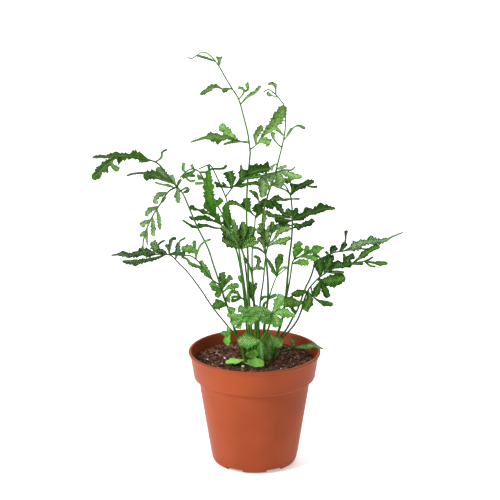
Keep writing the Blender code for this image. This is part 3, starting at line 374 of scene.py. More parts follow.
bits = []
for number in range(CRUMBS):
    across = SCATTER.choice(CRUMB_WIDTHS)
    size = (across * SCATTER.uniform(*CRUMB_LONGER), across, across * SCATTER.uniform(*CRUMB_HIGHER))
    bits.append((pebble, size, CRUMB_SUNK, *somewhere(CRUMB_REACH - across / 2)))
heap("peat_crumbs", bits, bark("peat_crumb", CRUMB_DARK, CRUMB_LIGHT, 0.9))

bits = []
for number in range(CHIPS):
    length = SCATTER.choice(CHIP_LENGTHS)
    size = (length, length * SCATTER.uniform(*CHIP_NARROWER), SCATTER.uniform(*CHIP_THICK))
    bits.append((chip, size, CHIP_SUNK, *somewhere(CRUMB_REACH - length / 2)))
heap("bark_chips", bits, bark("bark_chip", BARK_DARK, BARK_LIGHT, 0.8))

bits = []
for number in range(GRAINS):
    across = SCATTER.choice(GRAIN_WIDTHS)
    size = (across, across * GRAIN_WIDER, across * GRAIN_HIGHER)
    bits.append((grain, size, GRAIN_SUNK, *somewhere(CRUMB_REACH - across / 2)))
for x, y, across in LARGE_GRAINS:
    size = (across, across * GRAIN_WIDER, across * LARGE_GRAIN_HIGHER)
    bits.append((grain, size, GRAIN_SUNK, x, y))
heap("perlite_grains", bits, bark("perlite", PERLITE_DARK, PERLITE_LIGHT, 0.85))

# Fibres. Thin dead rootlets and coir threads that came up as the mix settled. Each lies in a bend over
# the crust, under a millimetre high at its middle and half buried at its ends.
FIBRES = 46
FIBRE_RADII = (0.14, 0.2, 0.28)
FIBRE_STEPS = 7
FIBRE_STEP = 1.3
FIBRE_BEND = 0.35
FIBRE_LIFT = 0.9
FIBRE_SUNK = 0.2
FIBRE_REACH = 45.0
ROOT_DARK = (0.16, 0.05, 0.025)
ROOT_LIGHT = (0.36, 0.2, 0.1)
mesh = bmesh.new()
for number in range(FIBRES):
    x, y = somewhere(FIBRE_REACH)
    heading = SCATTER.uniform(0, 2 * math.pi)
    bend = SCATTER.uniform(-FIBRE_BEND, FIBRE_BEND)
    line = bpy.data.curves.new("fibre", "CURVE")
    line.dimensions = "3D"
    line.bevel_depth = SCATTER.choice(FIBRE_RADII) * MM
    line.bevel_resolution = 1
    line.use_fill_caps = True
    run = line.splines.new("POLY")
    run.points.add(FIBRE_STEPS)
    for step in range(FIBRE_STEPS + 1):
        lift = FIBRE_LIFT * math.sin(math.pi * step / FIBRE_STEPS) - FIBRE_SUNK
        run.points[step].co = (*(Vector((x, y, soil_height(x, y) + lift)) * MM), 1)
        x += FIBRE_STEP * math.cos(heading)
        y += FIBRE_STEP * math.sin(heading)
        heading += bend
    guide = bpy.data.objects.new("fibre", line)
    bpy.context.scene.collection.objects.link(guide)
    bpy.context.view_layer.update()
    seen = guide.evaluated_get(bpy.context.evaluated_depsgraph_get())
    mesh.from_mesh(bpy.data.meshes.new_from_object(seen))
    bpy.data.objects.remove(guide)
bmesh.ops.remove_doubles(mesh, verts=mesh.verts[:], dist=LEVEL * MM)
fibres = as_piece("root_fibres", mesh, bark("dead_root", ROOT_DARK, ROOT_LIGHT, 0.8))

# How every frond grows. A wiry round stem rises from the crown, and its leaves are thin toothed blades with
# a rib, forked side veins and a silver heart. They are laid out on a sheet square to the line of sight.
EYE = Vector((-4.1, -2102.7, 847.9))
SIGHT_DROP = math.radians(17.1)
SHEET_DISTANCE = 2209.5
ACROSS = Vector((1, 0, 0))
UP = Vector((0, math.sin(SIGHT_DROP), math.cos(SIGHT_DROP)))
FORWARD = Vector((0, math.cos(SIGHT_DROP), -math.sin(SIGHT_DROP)))
CROWN_DEPTH = 2.0
SPREAD = 1.8
SPREAD_FOOT = -88.0
SPREAD_RISE = 150.0
HOLE_FLOOR = 84.0
STALK = 0.5
LEAN = 0.5
TURN = 0.3
CURVE_STEPS = 8
STEM_STEP = 3.0
STEM_CLEAR = 2
SEATS_PER_RUN = 3
LEAF_ROW = 0.5
LEAF_LEAST_ROWS = 10
COURSE_STEPS = 24
LEAF_COLUMNS = 8
LEAF_THICK = 0.4
STEM_FELT = 0.2
TIP = 0.12
NEARLY_ONE = 0.9999
LOBE_POINT = 0.5
LOBE_LIMIT = 0.3
LOBE_PITCH = 4.4
LOBE_DRIFT = 0.3
LOBE_DRIFT_TURN = 0.53
LOBE_RISE = 0.72
LOBE_DEPTH = 0.6
LOBE_FULL = 1.8
LOBE_MIDDLE = 0.45
LOBE_START = 5
TOOTH_PITCH = 1.5
TOOTH_RISE = 0.75
TOOTH_DEPTH = 0.42
TOOTH_SHARE = 0.22
TOOTH_START = 6
VEIN_PITCH = 2.0
VEIN_SINK = 0.09
VEIN_FULL = 2
FOLD = 0.22
WAVE = 0.3
WAVE_TURN = 0.95
WAVE_SIDES = 1.7
WAVE_FULL = 3
GROOVE = 0.16
GROOVE_WIDTH = 0.4
YOUNG = 2
LEAF_TO_LEAF = 0.45
DARKER = 0.62
LIGHTER = 1.5
YOUNGER = 3.3
FLECK = 0.7
FLECK_SHARE = 0.8
HEART_VEIN = 0.5
HEART_FRAY = 2.2
VEIN_SHARE = 0.22
RIB_SHARE = 0.7
STEM_FOOT = 0.092
STEM_GREEN = 0.15
FOOT_PALER_AND_PAINTED_LIGHT = 2
STREAK = 0.6


def place(across, up, back):
    """The point of space that is seen at this place on the sheet, this far behind the pot's axis."""
    ray = FORWARD * SHEET_DISTANCE + ACROSS * across + UP * up
    return EYE + ray * ((back - EYE.y) / ray.y)


def spread(up):
    """How many times further from the crown's depth a frond lies at this height on the sheet."""
    return 1 + SPREAD * min(1, max(0, (up - SPREAD_FOOT) / SPREAD_RISE))


def drawn_out(points):
    """Sheet points with their depths drawn out from the crown's, which leaves the plant round in plan."""
    return [Vector((across, up, CROWN_DEPTH + (back - CROWN_DEPTH) * spread(up)))
            for across, up, back in points]


def seen_at(point):
    """The place on the sheet, and the depth, of a point of space."""
    ray = point - EYE
    scale = SHEET_DISTANCE / ray.dot(FORWARD)
    return Vector((ray.dot(ACROSS) * scale, ray.dot(UP) * scale, point.y))


def seats_on(route):
    """Points close together on the straight runs between the given ones, for leaves to grow from."""
    steps = [number / SEATS_PER_RUN for number in range(SEATS_PER_RUN)]
    return [one.lerp(two, step) for one, two in zip(route, route[1:]) for step in steps] + route[-1:]


def smooth(points, count=None, step=None):
    """Evenly spaced points, so many or so far apart, along a smooth curve through the given ones."""
    points = [Vector(point) for point in points]
    ends = [2 * points[0] - points[1]] + points + [2 * points[-1] - points[-2]]
    dense = []
    for a, b, c, d in zip(ends, ends[1:], ends[2:], ends[3:]):
        for number in range(CURVE_STEPS):
            t = number / CURVE_STEPS
            dense.append(0.5 * (2 * b + (c - a) * t + (2 * a - 5 * b + 4 * c - d) * t ** 2
                                + (3 * b - a - 3 * c + d) * t ** 3))
    dense.append(points[-1])
    lengths = [0.0]
    for one, two in zip(dense, dense[1:]):
        lengths.append(lengths[-1] + (two - one).length)
    count = count or max(2, round(lengths[-1] / step))
    result = []
    place_in = 0
    for number in range(count + 1):
        target = lengths[-1] * number / count
        while place_in < len(dense) - 2 and lengths[place_in + 1] < target:
            place_in += 1
        span = lengths[place_in + 1] - lengths[place_in] or 1
        share = min(1, (target - lengths[place_in]) / span)
        result.append(dense[place_in].lerp(dense[place_in + 1], share))
    return result


def tube(mesh, points, start_radius, end_radius):
    """Adds a round stem that thins from its start to its end, through points in space."""
    line = bpy.data.curves.new("stem", "CURVE")
    line.dimensions = "3D"
    line.bevel_depth = MM
    line.bevel_resolution = 3
    line.use_fill_caps = True
    run = line.splines.new("POLY")
    run.points.add(len(points) - 1)
    for number, point in enumerate(points):
        share = number / (len(points) - 1)
        run.points[number].co = (*(point * MM), 1)
        run.points[number].radius = start_radius + (end_radius - start_radius) * share
    guide = bpy.data.objects.new("stem", line)
    bpy.context.scene.collection.objects.link(guide)
    bpy.context.view_layer.update()
    seen = guide.evaluated_get(bpy.context.evaluated_depsgraph_get())
    start = len(mesh.faces)
    mesh.from_mesh(bpy.data.meshes.new_from_object(seen))
    mesh.faces.ensure_lookup_table()
    for face in mesh.faces[start:]:
        face.material_index = 1
    bpy.data.objects.remove(guide)


def station(widths, along):
    """The step among a leaf's widths before this share of its length, and how far past that it lies."""
    spot = min(along / (1 - TIP), NEARLY_ONE) * len(widths)
    return int(spot), spot - int(spot)


def half_width(widths, along):
    """A leaf's half width at this share of its length, with a round blunt end past the last width."""
    if along >= 1 - TIP:
        return widths[-1] * math.sqrt(max(0, 1 - ((along - 1 + TIP) / TIP) ** 2))
    stations = [STALK, *widths]
    number, share = station(widths, along)
    share = (share + share * share * (3 - 2 * share)) / 2
    return stations[number] * (1 - share) + stations[number + 1] * share


def forward(widths, along, step):
    """How far the edge points towards the tip here: wide places lead, and narrow ones hang back."""
    stations = [STALK, *widths, 0]
    leads = [0.0]
    for before, here, after in zip(stations, stations[1:], stations[2:]):
        lead = LOBE_POINT * (here - (before + after) / 2)
        leads.append(max(-LOBE_LIMIT * step, min(LOBE_LIMIT * step, lead)))
    if along >= 1 - TIP:
        return leads[-1] * (1 - along) / TIP
    number, share = station(widths, along)
    return leads[number] * (1 - share) + leads[number + 1] * share


def lobed(run, half, along):
    """The edge's cut outline on top of the widths: lobes that rise towards the tip and drop off short."""
    phase = (run / LOBE_PITCH + LOBE_DRIFT * math.sin(run * LOBE_DRIFT_TURN)) % 1
    rise = phase / LOBE_RISE if phase < LOBE_RISE else (1 - phase) / (1 - LOBE_RISE)
    depth = LOBE_DEPTH * min(1, half / LOBE_FULL) * min(1, along * LOBE_START)
    return half * (1 + depth * (rise - LOBE_MIDDLE))


def tooth(run, half, along):
    """How far a fine tooth stands out at this distance along the edge; teeth point to the tip."""
    phase = (run / TOOTH_PITCH) % 1
    rise = phase / TOOTH_RISE if phase < TOOTH_RISE else (1 - phase) / (1 - TOOTH_RISE)
    return min(TOOTH_DEPTH, TOOTH_SHARE * half) * (rise - 0.5) * min(1, along * TOOTH_START)


def leaf(mesh, path, start_back, reach, left, right, lean, silver, ragged, fresh, chance):
    """Adds a leaf to a frond's mesh, and returns the points of its rib, with their depth.

    Its rib, widths and tilt are those of the solid; the teeth, fold, waves and veins are added here.
    Two layers colour it: blade holds how far across, how far along and how wide the leaf is, and tone
    its shade, which is past YOUNG on a young leaf, and its share of silver.
    """
    points = [(across, up, 0) for across, up in path]
    course = smooth(points, count=COURSE_STEPS)
    length = sum((two - one).length for one, two in zip(course, course[1:]))
    rows = max(LEAF_LEAST_ROWS, round(length / LEAF_ROW))
    rib = smooth(points, count=rows)
    blade = mesh.verts.layers.float_vector["blade"]
    tone = mesh.verts.layers.float_vector["tone"]
    grid = bmesh.ops.create_grid(mesh, x_segments=LEAF_COLUMNS, y_segments=rows, size=1)["verts"]
    shade = chance.random() + YOUNG * fresh
    shift_of_teeth = chance.random() * LOBE_PITCH
    wave_at = chance.uniform(0, 2 * math.pi)
    spine = []
    sides = []
    aheads = []
    for number, point in enumerate(rib):
        ahead = rib[min(number + 1, rows)] - rib[max(number - 1, 0)]
        aheads.append(ahead.normalized())
        sides.append(Vector((-ahead.y, ahead.x, 0)).normalized())
        spine.append(Vector((point.x, point.y, start_back + reach * spread(point.y) * number / rows)))
    for point in grid:
        across = point.co.x
        row = round((point.co.y + 1) / 2 * rows)
        along = row / rows
        widths = left if across > 0 else right
        half = half_width(widths, along)
        run = along * length
        edge = abs(across)
        start = run + (shift_of_teeth if across > 0 else 0)
        reach_out = half * (1 - edge ** 2 * ragged) + lobed(start, half, along) * edge ** 2 * ragged
        out = math.copysign(edge * reach_out + edge ** 3 * tooth(start, half, along), across)
        shift = sides[row] * out + aheads[row] * forward(widths, along, length / len(widths)) * edge
        seat = spine[row]
        depth = seat.z + lean * shift.y + math.copysign(TURN, seat.x) * shift.x
        point.co = place(seat.x + shift.x, seat.y + shift.y, depth) * MM
        point[blade] = (across, run, half)
        point[tone] = (shade, silver, 0)
    faces = list({face for point in grid for face in point.link_faces})
    for face in faces:
        face.normal_update()
        if face.normal.dot(EYE * MM - face.calc_center_median()) < 0:
            face.normal_flip()
    for point in grid:
        point.normal_update()
    for point in grid:
        across, run, half = point[blade]
        edge = abs(across)
        fold = FOLD * edge * half
        swing = run * WAVE_TURN + wave_at + (WAVE_SIDES if across > 0 else 0)
        wave = WAVE * edge * min(1, half / WAVE_FULL) * math.sin(swing)
        between = math.cos(2 * math.pi * (run - edge * half) / VEIN_PITCH)
        vein = VEIN_SINK * between * (1 - edge) * min(1, half / VEIN_FULL)
        groove = GROOVE * math.exp(-(across * half / GROOVE_WIDTH) ** 2)
        point.co += point.normal * (fold + wave - vein - groove) * MM
    bmesh.ops.remove_doubles(mesh, verts=grid, dist=MERGED * MM)
    faces = [face for face in faces if face.is_valid]
    bmesh.ops.solidify(mesh, geom=faces, thickness=LEAF_THICK * MM)
    return spine


def parts_of(tree, layer):
    """The three numbers that a leaf's mesh holds at each point in this layer."""
    held = add_node(tree, "ShaderNodeAttribute", attribute_name=layer).outputs["Vector"]
    return add_node(tree, "ShaderNodeSeparateXYZ", {"Vector": held}).outputs


def shaded(colour, share):
    """A colour made darker or lighter by this share."""
    return tuple(min(1, value * share) for value in colour)


def leaf_skin(name, margin, heart, rib_colour):
    """Leaf tissue: a green margin, a silver heart feathered along the veins, and a pale rib."""
    material, tree, shader = nodes_of(name)
    across, along, half = parts_of(tree, "blade")
    shade, share = parts_of(tree, "tone")[:2]
    edge = maths(tree, "ABSOLUTE", across)
    out = maths(tree, "MULTIPLY", edge, half)
    vein_run = maths(tree, "MULTIPLY", maths(tree, "SUBTRACT", along, out), 2 * math.pi / VEIN_PITCH)
    wave = maths(tree, "COSINE", vein_run)
    fine = speckle(tree, scale=420, detail=4, roughness=0.7)
    broad = speckle(tree, scale=120, detail=2)
    frayed = maths(tree, "MULTIPLY", maths(tree, "SUBTRACT", fine, 0.5), HEART_FRAY)
    feather = maths(tree, "ADD", maths(tree, "MULTIPLY", wave, HEART_VEIN), frayed)
    heart_reach = maths(tree, "ADD", maths(tree, "SUBTRACT", share, edge), feather)
    reached = ramp(tree, heart_reach, low=-0.04, high=0.1)
    silver = maths(tree, "MULTIPLY", reached, ramp(tree, share, low=0.0, high=0.25))
    dark = shaded(margin, DARKER)
    green = blend_colours(tree, ramp(tree, broad, low=0.3, high=0.7), dark, margin)
    leaf_share = maths(tree, "MULTIPLY", shade, LEAF_TO_LEAF)
    varied = blend_colours(tree, leaf_share, green, shaded(margin, LIGHTER))
    young = ramp(tree, shade, low=0.7 * YOUNG, high=0.95 * YOUNG)
    grown = blend_colours(tree, young, varied, shaded(margin, YOUNGER))
    body = blend_colours(tree, silver, grown, heart)
    between = maths(tree, "MULTIPLY", ramp(tree, wave, low=0.55, high=0.95), VEIN_SHARE)
    veined = blend_colours(tree, between, body, dark)
    midrib = maths(tree, "MULTIPLY", ramp(tree, out, low=0.42, high=0.14), RIB_SHARE)
    spots = ramp(tree, speckle(tree, scale=520, detail=3, roughness=0.65), low=0.53, high=0.6)
    flecks = maths(tree, "MULTIPLY", spots, FLECK_SHARE)
    flecked = blend_colours(tree, flecks, veined, shaded(margin, FLECK))
    colour = blend_colours(tree, midrib, flecked, rib_colour)
    tree.links.new(colour, shader.inputs["Base Color"])
    gloss = add_node(tree, "ShaderNodeMapRange", {"Value": fine, "To Min": 0.52, "To Max": 0.75})
    tree.links.new(gloss.outputs["Result"], shader.inputs["Roughness"])
    shader.inputs["Specular IOR Level"].default_value = 0.1
    relief(tree, shader, maths(tree, "ADD", wave, fine), strength=0.35, distance=0.0004)
    return material


def stem_skin(name, low, high):
    """A wiry stem with fine streaks, paler at its foot: partly its own colour, partly painted light."""
    material, tree, shader = nodes_of(name)
    place_of = add_node(tree, "ShaderNodeTexCoord").outputs["Object"]
    height = add_node(tree, "ShaderNodeSeparateXYZ", {"Vector": place_of}).outputs["Z"]
    # The foot's colour is lighter, partly the stem's paler base and partly painted light where the leaves
    # shade it.
    grown = blend_colours(tree, ramp(tree, height, low=STEM_FOOT, high=STEM_GREEN), low, high)
    streak = speckle(tree, scale=600, detail=2)
    streaks = ramp(tree, streak, low=0.35, high=0.75)
    colour = blend_colours(tree, streaks, grown, shaded(high, STREAK))
    tree.links.new(colour, shader.inputs["Base Color"])
    shader.inputs["Roughness"].default_value = 0.5
    shader.inputs["Specular IOR Level"].default_value = 0.15
    relief(tree, shader, streak, strength=0.3, distance=0.0003)
    return material


def frond(node, foot, radii, margin, heart, stalk, silver, ragged, stem, leaves, twigs=(), paler=(),
          fresh=(), lean=LEAN):
    """One frond with its stem and leaves, in place of its solid.

    foot is x and y in the soil, and radii are the stem's at its foot and tip. stem and twigs are lists of
    sheet points with their depth. A leaf is its rib's path on the sheet, how far back its tip reaches,
    and its half widths left and right of the rib. silver is the share of a leaf that its pale heart
    takes, and paler gives it for leaves that differ, by number. ragged is how deep the lobes of the
    edges are cut, fresh lists the young bright leaves, and lean is how a leaf tips away from the eye.
    """
    x, y = foot
    chance = random.Random(node)
    mesh = bmesh.new()
    mesh.verts.layers.float_vector.new("blade")
    mesh.verts.layers.float_vector.new("tone")
    route = smooth([seen_at(Vector((x, y, SOIL_TOP + STEM_CLEAR))), *drawn_out(stem)], step=STEM_STEP)
    buried = Vector((x, y, HOLE_FLOOR))
    tube(mesh, [buried] + [place(*point) for point in route], radii[0] + STEM_FELT, radii[1] + STEM_FELT)
    seats = seats_on(route)
    for points, start_radius, end_radius in twigs:
        route = smooth(drawn_out(points), step=STEM_STEP)
        course = [place(*point) for point in route]
        tube(mesh, course, start_radius + STEM_FELT, end_radius + STEM_FELT)
        seats += seats_on(route)
    bmesh.ops.remove_doubles(mesh, verts=mesh.verts[:], dist=LEVEL * MM)
    for number, (path, reach, left, *rest) in enumerate(leaves):
        right = rest[0] if rest else left
        seat = min(seats, key=lambda spot: (spot.x - path[0][0]) ** 2 + (spot.y - path[0][1]) ** 2)
        share = dict(paler).get(number, silver)
        rib = [(seat.x, seat.y), *path[1:]]
        seats += leaf(mesh, rib, seat.z, reach, left, right, lean, share, ragged, number in fresh, chance)
    bmesh.ops.recalc_face_normals(mesh, faces=mesh.faces[:])
    skin = leaf_skin(node + "_leaf", margin, heart, tuple(0.5 * (a + b) for a, b in zip(heart, margin)))
    # The foot colour is the stalk's made lighter: partly its own paler base, partly painted light.
    wiry = stem_skin(node + "_stem", shaded(stalk, FOOT_PALER_AND_PAINTED_LIGHT), stalk)
    piece = as_piece(node + "_living", mesh, skin, wiry)
    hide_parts(node)


# The tallest frond. Its thin stem runs up behind the others and nods to the left, with narrow pale
# leaves in pairs and one broad silver leaf on the right.
frond("frond_tall_left", foot=(0, 6), radii=(1.0, 0.35),
      margin=(0.0429, 0.171, 0.00909), heart=(0.29, 0.519, 0.144), stalk=(0.0735, 0.206, 0.0205),
      silver=0.7, ragged=0.8, paler={10: 0.95, 11: 0.9},
      stem=[(1, -70, 6), (-1, -40, 7), (-2, -5, 8), (-3, 24, 9), (-3, 44, 10), (-2, 64, 11), (0, 85, 12),
            (0, 90, 12), (-2, 105, 13), (-5, 117, 14), (-10, 135, 16), (-16, 145, 17), (-22, 155, 18),
            (-29, 167, 19), (-37, 176, 20), (-43, 178, 21), (-48, 175, 22), (-53, 172, 23),
            (-56, 174, 24)],
      leaves=[
        ([(-31, 169), (-40, 173), (-48, 175)], -6, (1, 1.2, 1)),
        ([(-28, 166), (-28, 174)], 5, (1, 2.2), (2, 3)),
        ([(-16, 145), (-19, 145), (-25, 143)], -4, (0.5, 2, 2)),
        ([(-23, 145), (-31, 147), (-38, 144), (-45, 140)], -9, (0.8, 1.5, 2.5, 2), (1, 2.8, 2.5, 1.5)),
        ([(-10, 136), (-6, 141), (-6, 145), (-11, 146)], 5, (0.6, 1, 1.5)),
        ([(-6, 142), (-2, 145), (-4, 150)], 9, (1, 1), (1.5, 2.5)),
        ([(-9, 131), (-2, 138), (5, 142), (10, 148)], 3, (1, 2.2, 1.8), (1, 1.2, 1)),
        ([(-4, 98), (-11, 98), (-19, 104), (-24, 109), (-28, 112)], 8, (0.5, 1.5, 3.5, 3),
         (0.5, 3, 4.5, 3.5)),
        ([(-1, 96), (-11, 98), (-22, 101), (-34, 102), (-44, 100), (-54, 97)], -12,
         (0.5, 1, 1, 6, 4.5, 1.2, 1), (0.5, 1.5, 2.5, 2, 4, 1.5, 1)),
        ([(-8, 97), (-17, 97), (-24, 95)], -6, (1, 1.3, 1)),
        ([(0, 90), (6, 95), (13, 104), (20, 112), (26, 121), (31, 130)], 14, (0.5, 2, 3.5, 5, 4),
         (0.5, 1, 2.5, 6, 4.5)),
        ([(5, 95), (5, 103), (11, 112)], 8, (2, 2.5), (3, 3)),
        ([(12, 103), (21, 109), (26, 107), (30, 103)], -6, (2, 2.5, 1), (1.5, 1.5, 0.8)),
        ([(5, 95), (12, 98), (18, 95)], -5, (1.5, 3.5, 4), (1, 2, 3))])

# The second tall frond. It curls over at its tip, and half way up it carries a fan of cream and
# silver leaves that hangs in front of the others.
frond("frond_tall_right", foot=(8, 10), radii=(1.0, 0.35),
      margin=(0.0363, 0.148, 0.00762), heart=(0.345, 0.555, 0.205), stalk=(0.0692, 0.2, 0.0175),
      silver=0.7, ragged=0.8, paler={4: 0.75, 5: 0.7, 6: 0.62, 7: 0.5},
      stem=[(13, -70, 10), (16, -44, 10), (16, -27, 10), (14, -4, 9), (12, 8, 9), (11, 22, 9),
            (12, 34, 9), (16, 49, 9), (19, 58, 9), (22, 66, 8), (24, 74, 8), (28, 90, 8), (31, 104, 7),
            (32, 116, 6), (31, 129, 5), (28, 134, 5), (24, 139, 4), (18, 144, 3), (15, 144, 2),
            (12, 142, 1)],
      leaves=[
        ([(23, 140), (23, 147), (20, 150), (16, 149)], -3, (0.6, 1.6, 1.2)),
        ([(25, 138), (20, 139), (16, 140), (17, 143)], 4, (0.5, 1.2, 1)),
        ([(28, 92), (22, 99), (20, 106)], -6, (0.5, 0.6, 2.2)),
        ([(30, 99), (33, 102), (36, 107), (39, 110), (44, 112), (50, 109)], 6,
         (0.5, 1.3, 1.3, 0.5, 1, 1.4)),
        ([(23, 70), (17, 68), (12, 64), (11, 56), (11, 47)], -14, (1, 3, 6, 6.5, 3.5),
         (1, 3, 4, 3.5, 2.5)),
        ([(24, 71), (27, 64), (26, 56)], -11, (2.5, 4, 3), (3, 5, 4)),
        ([(24, 70), (33, 69), (40, 67), (47, 66)], -8, (1, 2, 2.5, 1.5), (1, 3.5, 4.5, 2.5)),
        ([(23, 68), (31, 63), (37, 63)], 6, (1.5, 2.5), (2.5, 3)),
        ([(24, 73), (28, 74), (33, 76)], -3, (1.6, 1.3)),
        ([(24, 71), (31, 72), (37, 72), (41, 75)], 4, (0.8, 0.8, 0.7)),
        ([(24, 70), (20, 66), (18, 61)], -12, (2, 3, 2)),
        ([(25, 78), (21, 76), (18, 72)], 5, (1, 2)),
        ([(12, 20), (13, 28), (13, 36)], -2, (1.4, 1.8, 1.5))])

# The frond that arches far to the left. Its tip splits into a crown of leaves, a long dark toothed
# leaf that points left, and a hanging tail of silver leaflets.
frond("frond_high_left", foot=(-9, 6), radii=(0.7, 0.55), margin=(0.06, 0.17, 0.018),
      heart=(0.33, 0.53, 0.25), stalk=(0.0519, 0.154, 0.0146), silver=0.12, ragged=1.0, paler={0: 0.4,
      1: 0.6, 3: 0.4, 4: 0, 5: 0, 6: 0, 9: 0.3, 13: 0.55, 14: 0.55, 15: 0.6, 16: 0.6, 17: 0.55, 18: 0.6,
      19: 0.6, 20: 0.6},
      stem=[(-11, -80, 5), (-15, -69, 3), (-20, -52, 1), (-25, -37, -1), (-33, -13, -6), (-38, 2, -10),
            (-47, 20, -17), (-54, 36, -23), (-60, 50, -29), (-66, 57, -33)],
      twigs=[
        ([(-65, 56, -33), (-72, 64, -35), (-80, 75, -38), (-85, 79, -39), (-93, 82, -41)], 0.6, 0.5),
        ([(-65, 57, -33), (-73, 53, -36), (-79, 44, -38), (-85, 35, -40), (-90, 26, -41), (-94, 16, -42),
         (-96, 8, -42), (-96, 1, -43), (-93, -7, -43)], 0.6, 0.4)],
      leaves=[
        ([(-66, 59), (-71, 68)], 5, (2.2, 2), (1.8, 1.5)),
        ([(-65, 58), (-65, 50), (-64, 42)], -6, (2, 2.2, 1.5), (2, 3, 2)),
        ([(-62, 54), (-57, 56), (-56, 53), (-60, 52)], -4, (0.8, 1.4, 1.2)),
        ([(-66, 57), (-62, 64)], 4, (1.5, 1.2)),
        ([(-91, 82), (-105, 84), (-118, 85), (-130, 84), (-142, 83)], -6, (2, 2, 3, 7, 2, 1.5, 1),
         (4, 5.5, 2.5, 2.5, 3, 1.5, 2)),
        ([(-118, 84), (-128, 78), (-134, 72), (-142, 64)], -14, (1, 2.5, 6, 3, 4), (1.5, 3, 4, 4, 2.5)),
        ([(-125, 80), (-123, 75), (-118, 72)], -10, (2, 2.4)),
        ([(-89, 81), (-95, 80), (-100, 80)], -3, (1.2, 1.4)),
        ([(-85, 79), (-80, 83), (-79, 88), (-74, 91)], 5, (0.8, 1, 0.8)),
        ([(-69, 60), (-76, 66), (-84, 74)], -5, (1, 2, 3, 3), (1, 3, 3.5, 3)),
        ([(-68, 59), (-80, 64), (-88, 67), (-96, 66)], -9, (1, 1.2, 3, 3.5), (1, 2, 4.5, 4)),
        ([(-86, 66), (-94, 69), (-103, 69), (-111, 67)], -9, (1, 1, 0.9)),
        ([(-68, 57), (-73, 58), (-79, 59), (-86, 61)], 3, (1.3, 0.8, 0.9)),
        ([(-74, 52), (-81, 50), (-85, 46), (-84, 41)], -4, (2.5, 2.2, 2), (2, 2.2, 2)),
        ([(-79, 42), (-76, 48)], 3, (1.6, 1.3)),
        ([(-82, 39), (-88, 37), (-92, 34), (-93, 30)], -5, (1.8, 2.3, 1.8)),
        ([(-89, 27), (-94, 25), (-98, 21)], -3, (2, 2.5)),
        ([(-84, 37), (-82, 28), (-81, 18)], 3, (1.6, 1.9, 1.4)),
        ([(-88, 30), (-87, 20), (-87, 12)], 2, (1.8, 2.2, 2)),
        ([(-94, 18), (-99, 12)], -3, (1.8, 1.4)),
        ([(-93, 19), (-93, 11), (-92, 4)], 3, (1.4, 0.8))])

# A slim frond that rises in front and arches left at its top, where its small fresh leaves curl.
# Two leaflets grow low on its stem.
frond("frond_arched", foot=(-4, -2), radii=(0.8, 0.45),
      margin=(0.0417, 0.18, 0.00847), heart=(0.245, 0.51, 0.0984), stalk=(0.0605, 0.18, 0.0146),
      silver=0.4, ragged=0.5,
      stem=[(-1, -70, -5), (-4, -40, -12), (-8, -13, -18), (-11, 4, -21), (-19, 22, -22), (-28, 38, -23),
            (-36, 53, -24), (-44, 68, -25), (-48, 72, -25), (-53, 73, -26), (-58, 70, -26),
            (-63, 65, -26)],
      leaves=[
        ([(-57, 70), (-60, 72), (-60, 79)], 4, (1.5, 1), (1.5, 1.5)),
        ([(-50, 73), (-53, 77)], 3, (1.2, 1.5)),
        ([(-49, 72), (-55, 68), (-61, 65)], -5, (1.5, 2, 1.5)),
        ([(-59, 69), (-54, 67), (-49, 67)], 3, (1.2, 1.2)),
        ([(-60, 67), (-54, 62), (-49, 63)], -3, (0.9, 1)),
        ([(-40, 60), (-45, 60), (-50, 60)], 4, (1.2, 1.3)),
        ([(-42, 65), (-47, 64)], -3, (1.2, 1)),
        ([(-5, -32), (-8, -28), (-10, -23)], -3, (1.3, 1.6)),
        ([(-4, -46), (-9, -42), (-12, -38), (-17, -38), (-19, -42)], -6, (0.6, 1.2, 1.8, 1.6)),
        ([(-8, -43), (-12, -45), (-17, -46)], -7, (1.2, 1.6)),
        ([(-18, -39), (-20, -43), (-18, -48)], -2, (1.8, 2.2, 0.8)),
        ([(-9, -43), (-13, -42), (-17, -43)], -4, (1.2, 1.3)),
        ([(-41, 62), (-45, 66), (-48, 67)], 3, (1.2, 1.4))])

# The dark frond in the middle, with a broad toothed leaf to each side of its top and thin leaflets
# below. Its stem bends over in front of the tall ones.
frond("frond_dark_centre", foot=(-4, 11), radii=(0.7, 0.4),
      margin=(0.0199, 0.099, 0.00353), heart=(0.235, 0.436, 0.116), stalk=(0.0303, 0.0837, 0.0103),
      silver=0.1, ragged=1.0,
      stem=[(0, -70, 11), (-2, -40, 10.5), (-3, -25, 9.5), (-6, -4, 5), (-13, 14, 3), (-18, 32, 2),
            (-21, 45, 2), (-25, 55, 2), (-30, 66, 2), (-34, 74, 2), (-36, 77, 2), (-39, 76, 1),
            (-46, 73, 0)],
      twigs=[
        ([(-22, 48, 2), (-19, 52, 2), (-15, 57, 2), (-8, 63, 3)], 0.5, 0.4)],
      leaves=[
        ([(-16, 55), (-17, 63), (-19, 71)], 4, (2, 4.5, 4.5), (2.8, 4.5, 3.9)),
        ([(-16, 56), (-23, 57), (-31, 58)], -3, (0.9, 1.5)),
        ([(-21, 57), (-25, 61)], -4, (1.3, 1.1)),
        ([(-24, 57), (-32, 61)], -4, (1.3, 1.2)),
        ([(-14, 58), (-8, 65), (-8, 77)], 3, (1.1, 2.8, 1.1), (3.4, 5, 1.3)),
        ([(-8, 63), (0, 69), (9, 72), (18, 73)], 2, (2.8, 4.5, 7.8, 4.5, 5.6), (1.1, 2.8, 3.4, 3.4, 2.8)),
        ([(-9, 63), (-1, 65), (11, 67)], -3, (1.1, 1.8, 1.8)),
        ([(-14, 57), (-8, 58), (1, 60), (11, 60)], 1, (2, 1.3, 1.8, 2))])

